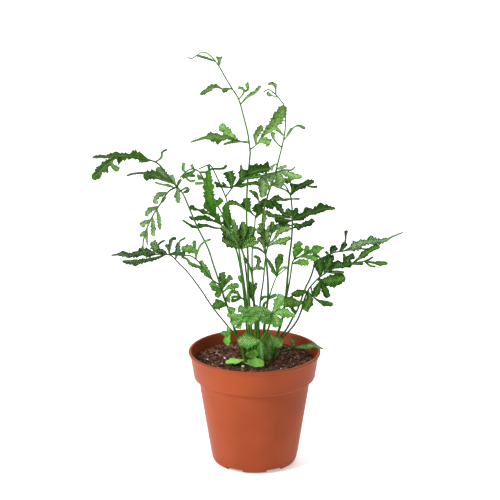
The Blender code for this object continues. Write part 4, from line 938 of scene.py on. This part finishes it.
# The bright green frond left of the middle. One long upright blade ends it, and narrow lobed
# leaflets fan out to the left below that.
frond("frond_bright", foot=(-6, 3), radii=(0.8, 0.6), margin=(0.026, 0.13, 0.0039),
      heart=(0.113, 0.282, 0.0292), stalk=(0.0519, 0.175, 0.0117), silver=0.15, ragged=0.9,
      paler={0: 0.3},
      stem=[(-3, -70, 1), (-7, -27, -1), (-12, -1, -3), (-18, 10, -5), (-25, 21, -7), (-31, 31, -9)],
      leaves=[
        ([(-31, 29), (-36, 44), (-37, 58), (-38, 72)], -3, (3, 5, 4.5, 4.5, 2.5), (3, 5, 4.5, 4, 3)),
        ([(-32, 37), (-29, 42), (-25, 46)], -2, (2, 2.5), (2, 2.5)),
        ([(-38, 70), (-34, 73), (-28, 73), (-23, 74), (-21, 77)], 4, (0.8, 0.9, 1, 1.3)),
        ([(-37, 71), (-37, 77)], -2, (1.2, 1.3)),
        ([(-39, 70), (-45, 70)], 3, (0.9, 0.9)),
        ([(-31, 27), (-38, 33), (-46, 36), (-50, 37), (-54, 40)], -5, (0.8, 0.8, 2.6, 0.7, 2.2),
         (0.8, 0.8, 2.2, 0.7, 2.2)),
        ([(-27, 23), (-35, 27), (-43, 29), (-50, 28), (-55, 30)], -7, (0.8, 2, 2.2, 1.4),
         (0.8, 2.5, 2.5, 1.2)),
        ([(-24, 20), (-32, 20), (-39, 22), (-50, 21), (-61, 27)], -6, (0.8, 1.2, 1.5, 1.5, 1),
         (0.8, 1, 3, 1, 1)),
        ([(-17, 12), (-20, 28), (-21, 43)], 4, (2, 5, 5, 3), (2, 3, 3, 2)),
        ([(-26, 22), (-29, 27), (-30, 33)], 3, (2.5, 3), (3, 2.5)),
        ([(-31, 30), (-36, 35), (-41, 42)], -4, (1.5, 2.5))])

# The short frond at the heart of the plant, a fan of broad leaves with silver middles and dark
# green margins. A curled leaflet grows lower down.
frond("frond_silver_centre", foot=(1, -2), radii=(1.1, 0.7),
      margin=(0.0127, 0.0745, 0.00228), heart=(0.253, 0.456, 0.121), stalk=(0.0519, 0.167, 0.0146),
      silver=0.38, ragged=1.0,
      stem=[(5, -70, -4), (3, -40, -7), (2, -24, -8), (-1, -13, -9), (-5, -6, -10), (-8, 2, -11)],
      leaves=[
        ([(-8, 1), (-16, 10), (-25, 22)], -4, (3.3, 4.4, 5.5, 2.8), (2.2, 2.8, 3.3, 2.2)),
        ([(-8, 1), (-17, 5), (-25, 10)], -6, (1.7, 3.3, 2.2), (2.2, 3.3, 2.2)),
        ([(-8, 1), (-13, 15), (-15, 28)], 1, (2.2, 3.9, 2.2, 3.3), (2.2, 3.3, 3.9, 1.7)),
        ([(-8, 1), (-7, 14), (-6, 26)], 3, (2.2, 3.9, 4.4, 2.2)),
        ([(-8, 1), (-2, 11), (3, 21)], 2, (2.2, 3.3, 3.9)),
        ([(-8, 1), (-1, 8), (5, 12)], -2, (2.2, 2.8, 2.2)),
        ([(-8, 1), (0, 5), (8, 7)], -5, (1.7, 3.3, 2.2), (1.7, 2.2, 1.3)),
        ([(2, -20), (6, -15), (8, -10), (6, -6), (3, -6)], -4, (0.7, 1.5, 2, 1.3)),
        ([(1, -18), (7, -16), (13, -17)], -3, (1.4, 1.8, 1.1)),
        ([(0, -15), (-3, -11), (-6, -8)], -3, (1, 0.7)),
        ([(4, -48), (1, -38), (0, -28)], 3, (1.7, 2, 1.4)),
        ([(4, -42), (4, -35), (6, -29)], 3, (1.1, 1.8, 1.3))])

# The frond behind the middle. Its leaves are mid green, cut into rounded lobes, and lean away from
# the eye at their tops.
frond("frond_centre", foot=(3, 13), radii=(0.8, 0.4), margin=(0.016, 0.0827, 0.00273),
      heart=(0.19, 0.372, 0.0746), stalk=(0.0519, 0.162, 0.0146), silver=0.15, ragged=1.0, lean=-0.4,
      stem=[(7, -70, 13), (3, -40, 15), (2, -20, 16), (2, 0, 17), (4, 18, 18), (5, 30, 18), (8, 36, 19),
            (8, 45, 19)],
      leaves=[
        ([(5, 30), (0, 34), (-5, 37), (-11, 41), (-20, 43)], 3, (0.6, 0.7, 1.1, 1.7),
         (0.6, 0.7, 2.1, 2.9)),
        ([(3, 31), (-2, 38), (-4, 47)], 6, (1.1, 4, 3.4), (1.1, 4.6, 4)),
        ([(5, 28), (8, 33), (7, 42)], -4, (0.9, 5.8, 4.6), (0.9, 4, 5.8)),
        ([(8, 44), (5, 50), (-1, 54)], 2, (2.1, 1.1)),
        ([(8, 43), (14, 43), (22, 39)], 4, (2.9, 4.6, 3.4), (2.3, 4, 3.4))])

# The strong frond on the right. Whorls of long toothed leaflets stand at three heights, and a twig
# on its left carries a lower whorl.
frond("frond_right", foot=(13, 8), radii=(1.1, 0.5), margin=(0.027, 0.108, 0.006),
      heart=(0.281, 0.513, 0.147), stalk=(0.0519, 0.167, 0.0146), silver=0.12, ragged=0.9, paler={15: 0.2,
      16: 0.25, 17: 0.2, 18: 0.25, 19: 0.25, 21: 0.2}, fresh=(15, 16, 17, 18, 19, 21),
      stem=[(24, -78, 7), (29, -62, 6), (32, -44, 6), (35, -10, 6), (37, 6, 7), (38, 20, 8), (38, 34, 8),
            (37, 46, 9), (36, 50, 9), (33, 56, 9), (30, 60, 9)],
      twigs=[
        ([(33, -42, 6), (36, -26, 3), (38, -12, 1), (40, -8, 0), (45, -6, -1)], 0.6, 0.5)],
      leaves=[
        ([(36, 51), (32, 54), (27, 56), (18, 60)], 8, (0.6, 0.7, 1.1, 1.3), (0.6, 0.7, 2.2, 2.8)),
        ([(36, 50), (38, 53), (39, 60)], 3, (1.3, 2.8), (1.7, 2.8)),
        ([(36, 49), (42, 55), (49, 59), (58, 62)], 9, (1.1, 3.9, 2.2, 3.4, 2.2),
         (1.1, 1.7, 3.4, 2.2, 1.7)),
        ([(49, 58), (55, 57), (61, 57)], 4, (0.9, 1)),
        ([(37, 46), (31, 45), (26, 46), (19, 46)], -4, (1.1, 1.1, 2.2, 1.7), (1.7, 1.1, 3.4, 2.2)),
        ([(37, 46), (41, 46), (45, 46)], 5, (0.8, 0.9)),
        ([(38, 27), (48, 31), (58, 34), (68, 37), (77, 37)], 18, (3.4, 2.8, 6.7, 3.4, 5.6, 4.5, 2.2),
         (3.4, 3.4, 1.7, 2.2, 2.2, 1.7, 1.1)),
        ([(38, 20), (47, 22), (52, 24), (57, 28)], 10, (1.7, 2.8, 1.7), (1.7, 2.2, 3.9)),
        ([(38, 28), (41, 35), (43, 38)], 5, (2.8, 1.7)),
        ([(38, 27), (31, 27), (22, 28)], -7, (3.4, 4.5, 2.8), (1.1, 1.3, 1.1)),
        ([(38, 29), (30, 30), (20, 31), (13, 35)], 8, (1.1, 1.7, 2.2, 2.2)),
        ([(38, 31), (31, 32), (27, 37), (20, 44)], 2, (1.7, 1.7, 2.8, 2.2), (1.1, 1.7, 3.4, 2.8)),
        ([(38, 32), (35, 34), (33, 37)], -4, (2.8, 2.2)),
        ([(38, 19), (32, 20), (26, 18)], -5, (1.3, 2, 1.7)),
        ([(38, 24), (42, 22), (45, 18)], -3, (2.2, 1.7)),
        ([(39, -8), (41, -2), (45, 8)], -4, (2.2, 3.9, 2.8), (2.2, 3.4, 2.8)),
        ([(38, -12), (46, -11), (53, -12)], -8, (1.8, 2.9, 2.5)),
        ([(39, -9), (45, -6), (49, -4), (52, 4)], -5, (0.6, 1, 2.7)),
        ([(44, -6), (51, -6), (61, -8)], -9, (1.1, 2.2, 2.5), (1.1, 2.2, 3.4)),
        ([(44, -6), (53, -2), (60, 0), (67, 2)], -5, (1, 1.3, 2.2, 5.6, 2.2), (1, 1.3, 2.2, 3.9, 1.1)),
        ([(38, 22), (31, 23), (25, 22)], -3, (1.3, 1.7)),
        ([(40, -6), (44, -3), (47, 2)], 3, (1.1, 1.8))])

# A short inner frond with a loose fan of pale leaflets, most of them silver to the edge. It stands
# between the tall stems.
frond("frond_inner_right", foot=(7, 4), radii=(0.7, 0.45),
      margin=(0.019, 0.0963, 0.00377), heart=(0.324, 0.503, 0.158), stalk=(0.0519, 0.167, 0.0146),
      silver=0.5, ragged=0.9,
      stem=[(8, -72, 2), (9, -49, -1), (12, -27, -3), (14, -6, -6), (16, 3, -7), (18, 10, -8),
            (20, 16, -8), (21, 21, -8)],
      leaves=[
        ([(14, -4), (10, 0), (6, 2), (1, 2)], 1, (0.8, 1, 1)),
        ([(14, -5), (12, 5), (7, 11)], -3, (1.2, 1.9), (1.5, 3.1)),
        ([(16, 5), (15, 12), (17, 22)], -5, (1.9, 2.5, 1.5)),
        ([(16, 3), (12, 12), (12, 24)], 2, (2.5, 2.5, 1.9)),
        ([(19, 13), (20, 20), (20, 26)], 4, (1.9, 2.5, 1.9)),
        ([(18, 12), (12, 17), (6, 17)], -2, (1.8, 3)),
        ([(17, 5), (22, 10), (27, 17), (36, 20)], -4, (0.8, 1.5, 3, 2.5)),
        ([(16, 3), (22, 6), (29, 8), (36, 12)], -6, (1, 2.5, 3.1, 1.5), (0.8, 1.5, 3.8, 2.5)),
        ([(13, 17), (10, 20), (9, 24)], -2, (1.5, 1.8)),
        ([(20, 15), (23, 19), (26, 23)], 3, (1.8, 2))])

# A small young frond with two bright pointed leaves at its tip and a leaflet low on its stem, in
# front of the tall ones.
frond("frond_small_right", foot=(11, 0), radii=(0.6, 0.35),
      margin=(0.0382, 0.18, 0.00675), heart=(0.245, 0.502, 0.0984), stalk=(0.0519, 0.18, 0.0146),
      silver=0.45, ragged=0.3,
      stem=[(12, -74, -3), (15, -52, -4), (18, -40, -5), (21, -31, -6), (24, -24, -6), (27, -21, -7),
            (31, -18, -7), (35, -14, -8)],
      leaves=[
        ([(24, -23), (25, -13), (28, -3)], 4, (1.2, 3.8, 2.5), (1.2, 4, 3)),
        ([(24, -24), (19, -14), (15, -7)], 2, (1.4, 1.8, 1)),
        ([(25, -22), (19, -18)], -3, (1.4, 1)),
        ([(25, -21), (29, -16), (34, -16)], -4, (1, 1.1)),
        ([(17, -44), (20, -42), (24, -40)], -2, (1.8, 1.5)),
        ([(17, -43), (13, -42), (9, -45)], -3, (1.2, 1.6)),
        ([(16, -46), (13, -48), (12, -52)], -2, (1.2, 1.2))])

# The frond that reaches furthest right. Its dark leaves end in one long ragged blade with a greyish
# middle, and one leaflet stands up from it.
frond("frond_long_right", foot=(15, 3), radii=(0.8, 0.5),
      margin=(0.0134, 0.0728, 0.00256), heart=(0.24, 0.38, 0.19), stalk=(0.0303, 0.0901, 0.0103),
      silver=0.12, ragged=1.0, paler={6: 0.5},
      stem=[(26, -80, -1), (33, -71, -3), (39, -60, -5), (43, -53, -6), (50, -34, -9), (54, -26, -10),
            (57, -17, -11), (58, -12, -12), (63, -8, -13), (70, -5, -15), (76, -2, -17), (84, -1, -19),
            (92, 2, -21)],
      leaves=[
        ([(72, -4), (74, 0), (78, 3)], 4, (2.8, 2.5)),
        ([(71, -5), (68, -1)], 3, (1.3, 1.2)),
        ([(61, -9), (68, -8), (76, -7)], -3, (1.5, 2.8, 2.8), (1.5, 2.4, 2.4)),
        ([(64, -7), (60, -5), (56, -4)], 3, (1.2, 1)),
        ([(71, -5), (70, -12), (71, -17)], -2, (2.5, 2.5)),
        ([(80, -1), (84, 3), (86, 9), (86, 13), (87, 18)], 6, (1.8, 2.5, 0.8, 0.8, 1.6)),
        ([(84, -1), (92, 2), (100, 6), (112, 8), (122, 9), (128, 12), (138, 16)], -16,
         (1, 4.5, 3.5, 2.5, 4.5, 2, 2, 0.6, 0.8), (1.5, 4.5, 4, 2.5, 2.5, 3.5, 2, 0.6, 0.8)),
        ([(96, 3), (102, 1), (107, 1)], -4, (0.8, 0.8))])

# The low frond on the right, with dark toothed leaves along its tip and broad, smoother leaves
# nearer the pot, some of them paler.
frond("frond_low_right", foot=(17, -3), radii=(0.8, 0.4),
      margin=(0.0129, 0.0719, 0.00219), heart=(0.141, 0.293, 0.0462), stalk=(0.0303, 0.0901, 0.0103),
      silver=0.2, ragged=0.5, paler={12: 0.55, 13: 0.5, 17: 0.7},
      stem=[(24, -83, -5), (30, -78, -7), (36, -72, -9), (42, -64, -12), (46, -55, -14), (49, -44, -16),
            (53, -35, -18), (58, -29, -19), (62, -25, -20), (69, -20, -22), (76, -16, -24),
            (84, -14, -26), (92, -12, -28), (104, -10, -31)],
      leaves=[
        ([(64, -25), (63, -18), (62, -9)], -4, (2.5, 4.8, 4.6)),
        ([(67, -22), (70, -14), (72, -7)], -4, (1.7, 3.9, 3.4)),
        ([(61, -27), (68, -28), (77, -27), (86, -25)], -7, (1.7, 4, 5.2, 5.8, 4.6),
         (1.7, 4.6, 6.3, 5.8, 3.4)),
        ([(69, -20), (76, -20), (85, -20)], -3, (1.4, 1.7, 1.1)),
        ([(84, -14), (85, -7), (84, -3)], 3, (1.4, 1.1)),
        ([(84, -11), (89, -7), (94, -5)], 2, (2.3, 2.8)),
        ([(70, -20), (77, -14), (84, -13), (92, -13)], -2, (2.3, 4, 2.3, 3.4), (1.7, 3.4, 3.4, 2.9)),
        ([(88, -13), (95, -12), (102, -12)], -5, (1.4, 1.7)),
        ([(92, -12), (100, -6), (108, 0), (117, 3)], -5, (1.1, 3.2, 2.3, 2.9), (1.1, 2.9, 2.3, 1.7)),
        ([(102, -10), (109, -11), (116, -12), (124, -12)], -8, (1, 1.1, 2.3, 1.7)),
        ([(103, -10), (108, -14), (113, -15)], -5, (0.9, 0.9)),
        ([(101, -10), (106, -9), (111, -6)], 3, (0.8, 0.8)),
        ([(52, -36), (53, -45), (48, -54)], -5, (2.9, 4.6, 4.6), (2.3, 4.6, 3.4)),
        ([(52, -37), (46, -38), (37, -40)], -4, (2.9, 4, 2.3), (2.3, 2.9, 1.7)),
        ([(55, -33), (57, -41), (61, -37), (63, -30)], 4, (0.8, 1.1, 2.8)),
        ([(62, -25), (67, -35), (72, -42)], -4, (1.7, 2.9, 1.7), (1.1, 3.4, 4.6)),
        ([(56, -38), (58, -43), (65, -47), (75, -49)], -3, (0.7, 1.1, 2.5, 1.7), (0.7, 1.1, 3.2, 2.3)),
        ([(49, -46), (42, -48), (36, -47), (31, -48)], -2, (2.3, 3.4, 5.2, 4.6), (2.3, 3.4, 5.2, 4.6)),
        ([(37, -49), (38, -53), (42, -57)], -1, (1.4, 1.4)),
        ([(64, -27), (61, -34), (58, -42)], 2, (2.3, 3.4, 2.9))])

# The low fan just above the pot, with leaves that spread sideways and hang a little, each silver
# down the middle.
frond("frond_low_centre", foot=(8, -7), radii=(0.9, 0.7), margin=(0.072, 0.28, 0.031),
      heart=(0.38, 0.63, 0.21), stalk=(0.0637, 0.187, 0.0234), silver=0.42, ragged=0.9,
      stem=[(14, -80, -10), (18, -66, -14), (21, -56, -17)],
      leaves=[
        ([(21, -57), (14, -54), (6, -54), (-1, -55), (-8, -58)], -6, (1.6, 3.9, 3.9, 4.5, 2.6),
         (1.3, 2.9, 3.9, 3.9, 2.6)),
        ([(21, -58), (11, -57), (5, -61), (-1, -67)], -12, (1.6, 2, 2.9, 2.3), (1.3, 2.6, 4.5, 3.9)),
        ([(20, -57), (29, -56), (36, -58), (41, -60)], -3, (2.6, 3.9, 3.2, 1.6), (2.6, 4.5, 3.9, 2)),
        ([(21, -57), (23, -63), (24, -70)], -6, (3.2, 5.2, 3.2)),
        ([(20, -58), (16, -62), (15, -67)], -5, (2.6, 2.6)),
        ([(20, -58), (25, -48), (29, -40)], -2, (1.8, 4.4, 3.9), (1.8, 4.9, 3.9)),
        ([(1, -55), (-5, -54), (-11, -53)], -4, (2, 3.2), (2, 3.9)),
        ([(2, -56), (-5, -62), (-12, -60), (-21, -58)], -3, (1.6, 2.9, 3.2, 2)),
        ([(-3, -61), (-9, -66), (-11, -71)], -3, (2, 2.6)),
        ([(-5, -62), (-12, -64), (-17, -67)], -4, (2.6, 3.1)),
        ([(20, -58), (14, -61), (9, -64)], -7, (2.3, 2.9))])

# The low frond on the left. Its thin stem bends out over the rim, and small bright lobed leaves
# grow from it in clusters.
frond("frond_low_left", foot=(-10, 0), radii=(0.7, 0.4), margin=(0.041, 0.17, 0.0099),
      heart=(0.24, 0.47, 0.12), stalk=(0.0389, 0.116, 0.0117), silver=0.3, ragged=0.9, paler={0: 0.2},
      stem=[(-9, -82, -5), (-13, -73, -8), (-18, -58, -11), (-21, -49, -13), (-24, -42, -14),
            (-25, -36, -15), (-28, -31, -17), (-35, -26, -20), (-40, -19, -22), (-45, -12, -25),
            (-49, -8, -26), (-54, -5, -28), (-60, -5, -29), (-71, -4, -31)],
      leaves=[
        ([(-34, -27), (-40, -19), (-44, -9)], 5, (2.3, 4, 2.3), (2.9, 3.4, 1.7)),
        ([(-42, -16), (-50, -14), (-54, -12), (-57, -8), (-62, -6)], -5, (1.5, 1.7, 1.1, 1)),
        ([(-26, -33), (-31, -33), (-36, -29)], 3, (2.9, 2.3)),
        ([(-25, -36), (-31, -35), (-35, -34)], -3, (2.3, 1.7)),
        ([(-25, -36), (-28, -39), (-31, -42)], -5, (2.9, 2.3)),
        ([(-25, -36), (-24, -28), (-26, -20)], 4, (2.3, 3.4, 2.9), (1.7, 2.9, 3.4)),
        ([(-24, -35), (-20, -27), (-16, -24)], 2, (1.7, 2.5)),
        ([(-25, -38), (-18, -33), (-10, -31)], -4, (1.1, 2.3, 1.7), (1.1, 3.4, 2.8)),
        ([(-20, -50), (-27, -49), (-34, -51)], -6, (2.3, 4.6, 2.3), (3.4, 4.6, 2.3)),
        ([(-20, -50), (-18, -53), (-14, -56)], -5, (2.5, 2.8)),
        ([(-49, -8), (-49, -2), (-54, 1), (-62, 2)], 4, (0.8, 3.4, 4.8, 3), (0.8, 2.9, 3.4, 2.1)),
        ([(-49, -2), (-50, 4), (-50, 9)], 7, (1.6, 1.5)),
        ([(-49, -8), (-47, -1), (-43, 6), (-35, 10)], -7, (0.8, 1, 1))])

# The long dark frond on the left, on a wiry stem that leans over the rim. Its leaves lie nearly
# level and end in two long blades.
frond("frond_long_left", foot=(-9, 13), radii=(0.6, 0.4),
      margin=(0.0117, 0.0582, 0.00245), heart=(0.18, 0.31, 0.13), stalk=(0.0432, 0.058, 0.0146),
      silver=0.4, ragged=0.9, paler={0: 0.55, 2: 0.6}, lean=-0.35,
      stem=[(-6, -86, 13), (-11, -79, 13), (-22, -66, 13), (-34, -51, 13), (-44, -36, 13), (-56, -20, 13),
            (-63, -13, 13), (-71, -5, 12), (-78, -4, 11), (-86, -4, 10), (-94, -5, 9)],
      leaves=[
        ([(-84, -4), (-96, -3), (-108, -4), (-118, -4), (-125, -5)], -8, (3, 2, 3, 2.5, 2, 0.9),
         (4, 6, 3, 1.5, 3, 0.9)),
        ([(-76, -5), (-88, -8), (-100, -10), (-115, -10)], -14, (1.5, 2, 2, 3.5, 2.5),
         (0.8, 1.5, 2, 1.5, 1)),
        ([(-78, -4), (-84, 1), (-88, 8)], 5, (2.5, 4, 2.5), (2.5, 3.5, 3.5)),
        ([(-83, 4), (-80, 7), (-76, 9)], 5, (0.9, 0.7)),
        ([(-73, -4), (-73, 1), (-76, 5)], -3, (1.3, 1.4)),
        ([(-73, -4), (-72, 5), (-70, 10), (-66, 10)], 4, (1.2, 1.6, 1.5)),
        ([(-67, -8), (-65, 0), (-65, 7)], -3, (1.5, 2.3, 1.8)),
        ([(-66, 4), (-63, 8), (-58, 11)], -3, (0.8, 0.9)),
        ([(-72, -4), (-66, -3), (-58, -4)], 3, (2.5, 2), (1, 1)),
        ([(-75, -4), (-79, -1), (-85, -1)], -4, (2, 2, 1.2))])

# A young leaf at the crown's left, cut into three short lobes like a star, on a thin stalk that
# bends out over the soil.
frond("leaf_star", foot=(-9, -6), radii=(0.6, 0.5), margin=(0.1, 0.37, 0.034),
      heart=(0.25, 0.53, 0.11), stalk=(0.0605, 0.206, 0.0175), silver=0.35, ragged=0.5,
      stem=[(-7, -88, -9), (-9, -80, -12), (-14, -75, -15), (-19, -75, -17)],
      leaves=[
        ([(-18, -75), (-20, -80), (-20, -86)], -3, (2, 3, 1.5), (3, 3.5, 2)),
        ([(-18, -76), (-20, -68)], 4, (1.8, 1.2)),
        ([(-18, -76), (-26, -74)], -2, (2.5, 1.5))])

# The broad silver leaf that hangs over the crown. It is nearly white along its veins and dark green
# only at its toothed edge.
frond("leaf_silver_crown", foot=(4, -7), radii=(0.6, 0.45),
      margin=(0.08, 0.28, 0.034), heart=(0.43, 0.67, 0.27), stalk=(0.0592, 0.176, 0.0234), silver=0.32,
      ragged=0.6,
      stem=[(11, -88, -9), (15, -79, -14), (16, -73, -18), (13, -76, -21), (9, -82, -23)],
      leaves=[
        ([(10, -81), (4, -82), (-3, -82), (-11, -81)], -3, (2.9, 5.8, 6.9, 4.6), (2.3, 5.2, 6.3, 4)),
        ([(10, -81), (9, -89), (11, -98)], -1, (2.3, 2.9, 1.7)),
        ([(10, -81), (13, -89), (15, -96)], 3, (1.4, 1.8))])

# The dark leaf beside it, with two broad lobes that hang down to the soil, pale veins and an
# upright stalk.
frond("leaf_dark_crown", foot=(13, -6), radii=(0.6, 0.5), margin=(0.087, 0.29, 0.034),
      heart=(0.41, 0.64, 0.23), stalk=(0.0546, 0.164, 0.0195), silver=0.25, ragged=0.6,
      stem=[(19, -84, -9), (19, -78, -11), (18, -74, -12)],
      leaves=[
        ([(18, -75), (17, -85), (17, -98)], -3, (2.6, 5.2, 5.8, 3.2), (1.4, 4.5, 5.2, 2.6)),
        ([(18, -76), (23, -82), (29, -86)], -2, (2.6, 5.2, 3.2), (2.6, 4.5, 3.2))])

# A leaf that reaches across the soil to the right and lies over the pot's rim, slim and silver down
# its middle.
frond("leaf_over_rim", foot=(19, 3), radii=(0.6, 0.5), margin=(0.065, 0.21, 0.033),
      heart=(0.34, 0.53, 0.24), stalk=(0.0455, 0.129, 0.0175), silver=0.3, ragged=0.6,
      stem=[(27, -92, 0), (34, -90, -2), (40, -87, -4)],
      leaves=[
        ([(38, -88), (47, -87), (56, -86), (66, -89)], -8, (1, 2, 2, 2, 1), (0.8, 2, 3, 1.5, 0.8)),
        ([(39, -87), (39, -83), (36, -79)], 6, (1.5, 2))])

# A seedling at the front of the crown, a rounded pale fan that has not yet grown lobes, with a
# smaller leaf behind it.
frond("seedlings", foot=(1, -14), radii=(0.6, 0.5), margin=(0.26, 0.67, 0.11),
      heart=(0.38, 0.76, 0.17), stalk=(0.162, 0.459, 0.0448), silver=0.3, ragged=0.3,
      stem=[(4, -100, -15), (5, -97, -14)],
      leaves=[
        ([(5, -97), (5, -100), (4, -105)], -13, (6.5, 7.5, 6), (6.5, 7.5, 6)),
        ([(5, -97), (4, -95), (3, -90)], -1, (6, 7.5, 5.5))])

# A second seedling leaf, pale and lobed, that lies almost flat on the soil to the left of the first
# one.
frond("leaf_on_soil", foot=(-5, -15), radii=(0.5, 0.45), margin=(0.26, 0.67, 0.11),
      heart=(0.38, 0.76, 0.17), stalk=(0.162, 0.459, 0.0448), silver=0.3, ragged=0.4, lean=2.5,
      stem=[(-6, -101, -14), (-6, -99, -14)],
      leaves=[
        ([(-6, -99), (-13, -100), (-22, -101)], -6, (1.5, 3, 1.5, 2), (1, 2, 2.5, 1.5))])

# The floor and the light. A plain pale floor that glows faintly runs out past the view. A soft light
# stands at the front left, a faint one at the right, one behind and one over the far floor, in a
# pale room that the camera sees brighter than it shines.
FLOOR_HALF = 3.0
FLOOR_GREY = 0.96
FLOOR_GLOW = 0.42
ROOM_LIGHT = 0.36
ROOM_SEEN = 0.95
mesh = bmesh.new()
bmesh.ops.create_grid(mesh, x_segments=1, y_segments=1, size=FLOOR_HALF)
data = bpy.data.meshes.new("floor")
mesh.to_mesh(data)
mesh.free()
floor = bpy.data.objects.new("floor", data)
bpy.context.scene.collection.objects.link(floor)
pale, tree, shader = nodes_of("pale_floor")
shader.inputs["Base Color"].default_value = (FLOOR_GREY, FLOOR_GREY, FLOOR_GREY, 1)
shader.inputs["Roughness"].default_value = 0.9
shader.inputs["Emission Color"].default_value = (1, 1, 1, 1)
shader.inputs["Emission Strength"].default_value = FLOOR_GLOW
data.materials.append(pale)

room = bpy.data.worlds.new("room")
room.use_nodes = True
room.node_tree.nodes["Background"].inputs["Color"].default_value = (1, 1, 1, 1)
seen = add_node(room.node_tree, "ShaderNodeLightPath").outputs["Is Camera Ray"]
strength = add_node(room.node_tree, "ShaderNodeMapRange",
                    {"Value": seen, "To Min": ROOM_LIGHT, "To Max": ROOM_SEEN}).outputs["Result"]
room.node_tree.links.new(strength, room.node_tree.nodes["Background"].inputs["Strength"])
bpy.context.scene.world = room
PLANT_MIDDLE = Vector((0, 0, 0.17))
FAR_FLOOR = Vector((0, 1.9, 0))
LIGHTS = (("key_light", (-1.35, -0.95, 1.2), 0.6, 35, PLANT_MIDDLE),
          ("fill_light", (1.2, -0.9, 0.6), 0.9, 0.2, PLANT_MIDDLE),
          ("back_light", (0.3, 1.1, 1.2), 0.8, 4, PLANT_MIDDLE),
          ("floor_light", (0, 2.0, 1.5), 2.4, 36, FAR_FLOOR))
for name, spot, width, power, target in LIGHTS:
    lamp = bpy.data.lights.new(name, "AREA")
    lamp.size = width
    lamp.energy = power
    light = bpy.data.objects.new(name, lamp)
    light.location = spot
    light.rotation_euler = (target - Vector(spot)).to_track_quat("-Z", "Y").to_euler()
    bpy.context.scene.collection.objects.link(light)

# The camera. It stands where the photograph was taken from, two metres in front of the pot, and
# looks 17 degrees down at the fronds through a long lens.
CAMERA_LENS = 176.8
eye = bpy.data.cameras.new("camera")
eye.lens = CAMERA_LENS
camera = bpy.data.objects.new("camera", eye)
camera.location = EYE * MM
camera.rotation_euler = (math.radians(90) - SIGHT_DROP, 0, 0)
bpy.context.scene.collection.objects.link(camera)
bpy.context.scene.camera = camera
bpy.context.scene.view_settings.view_transform = "Standard"
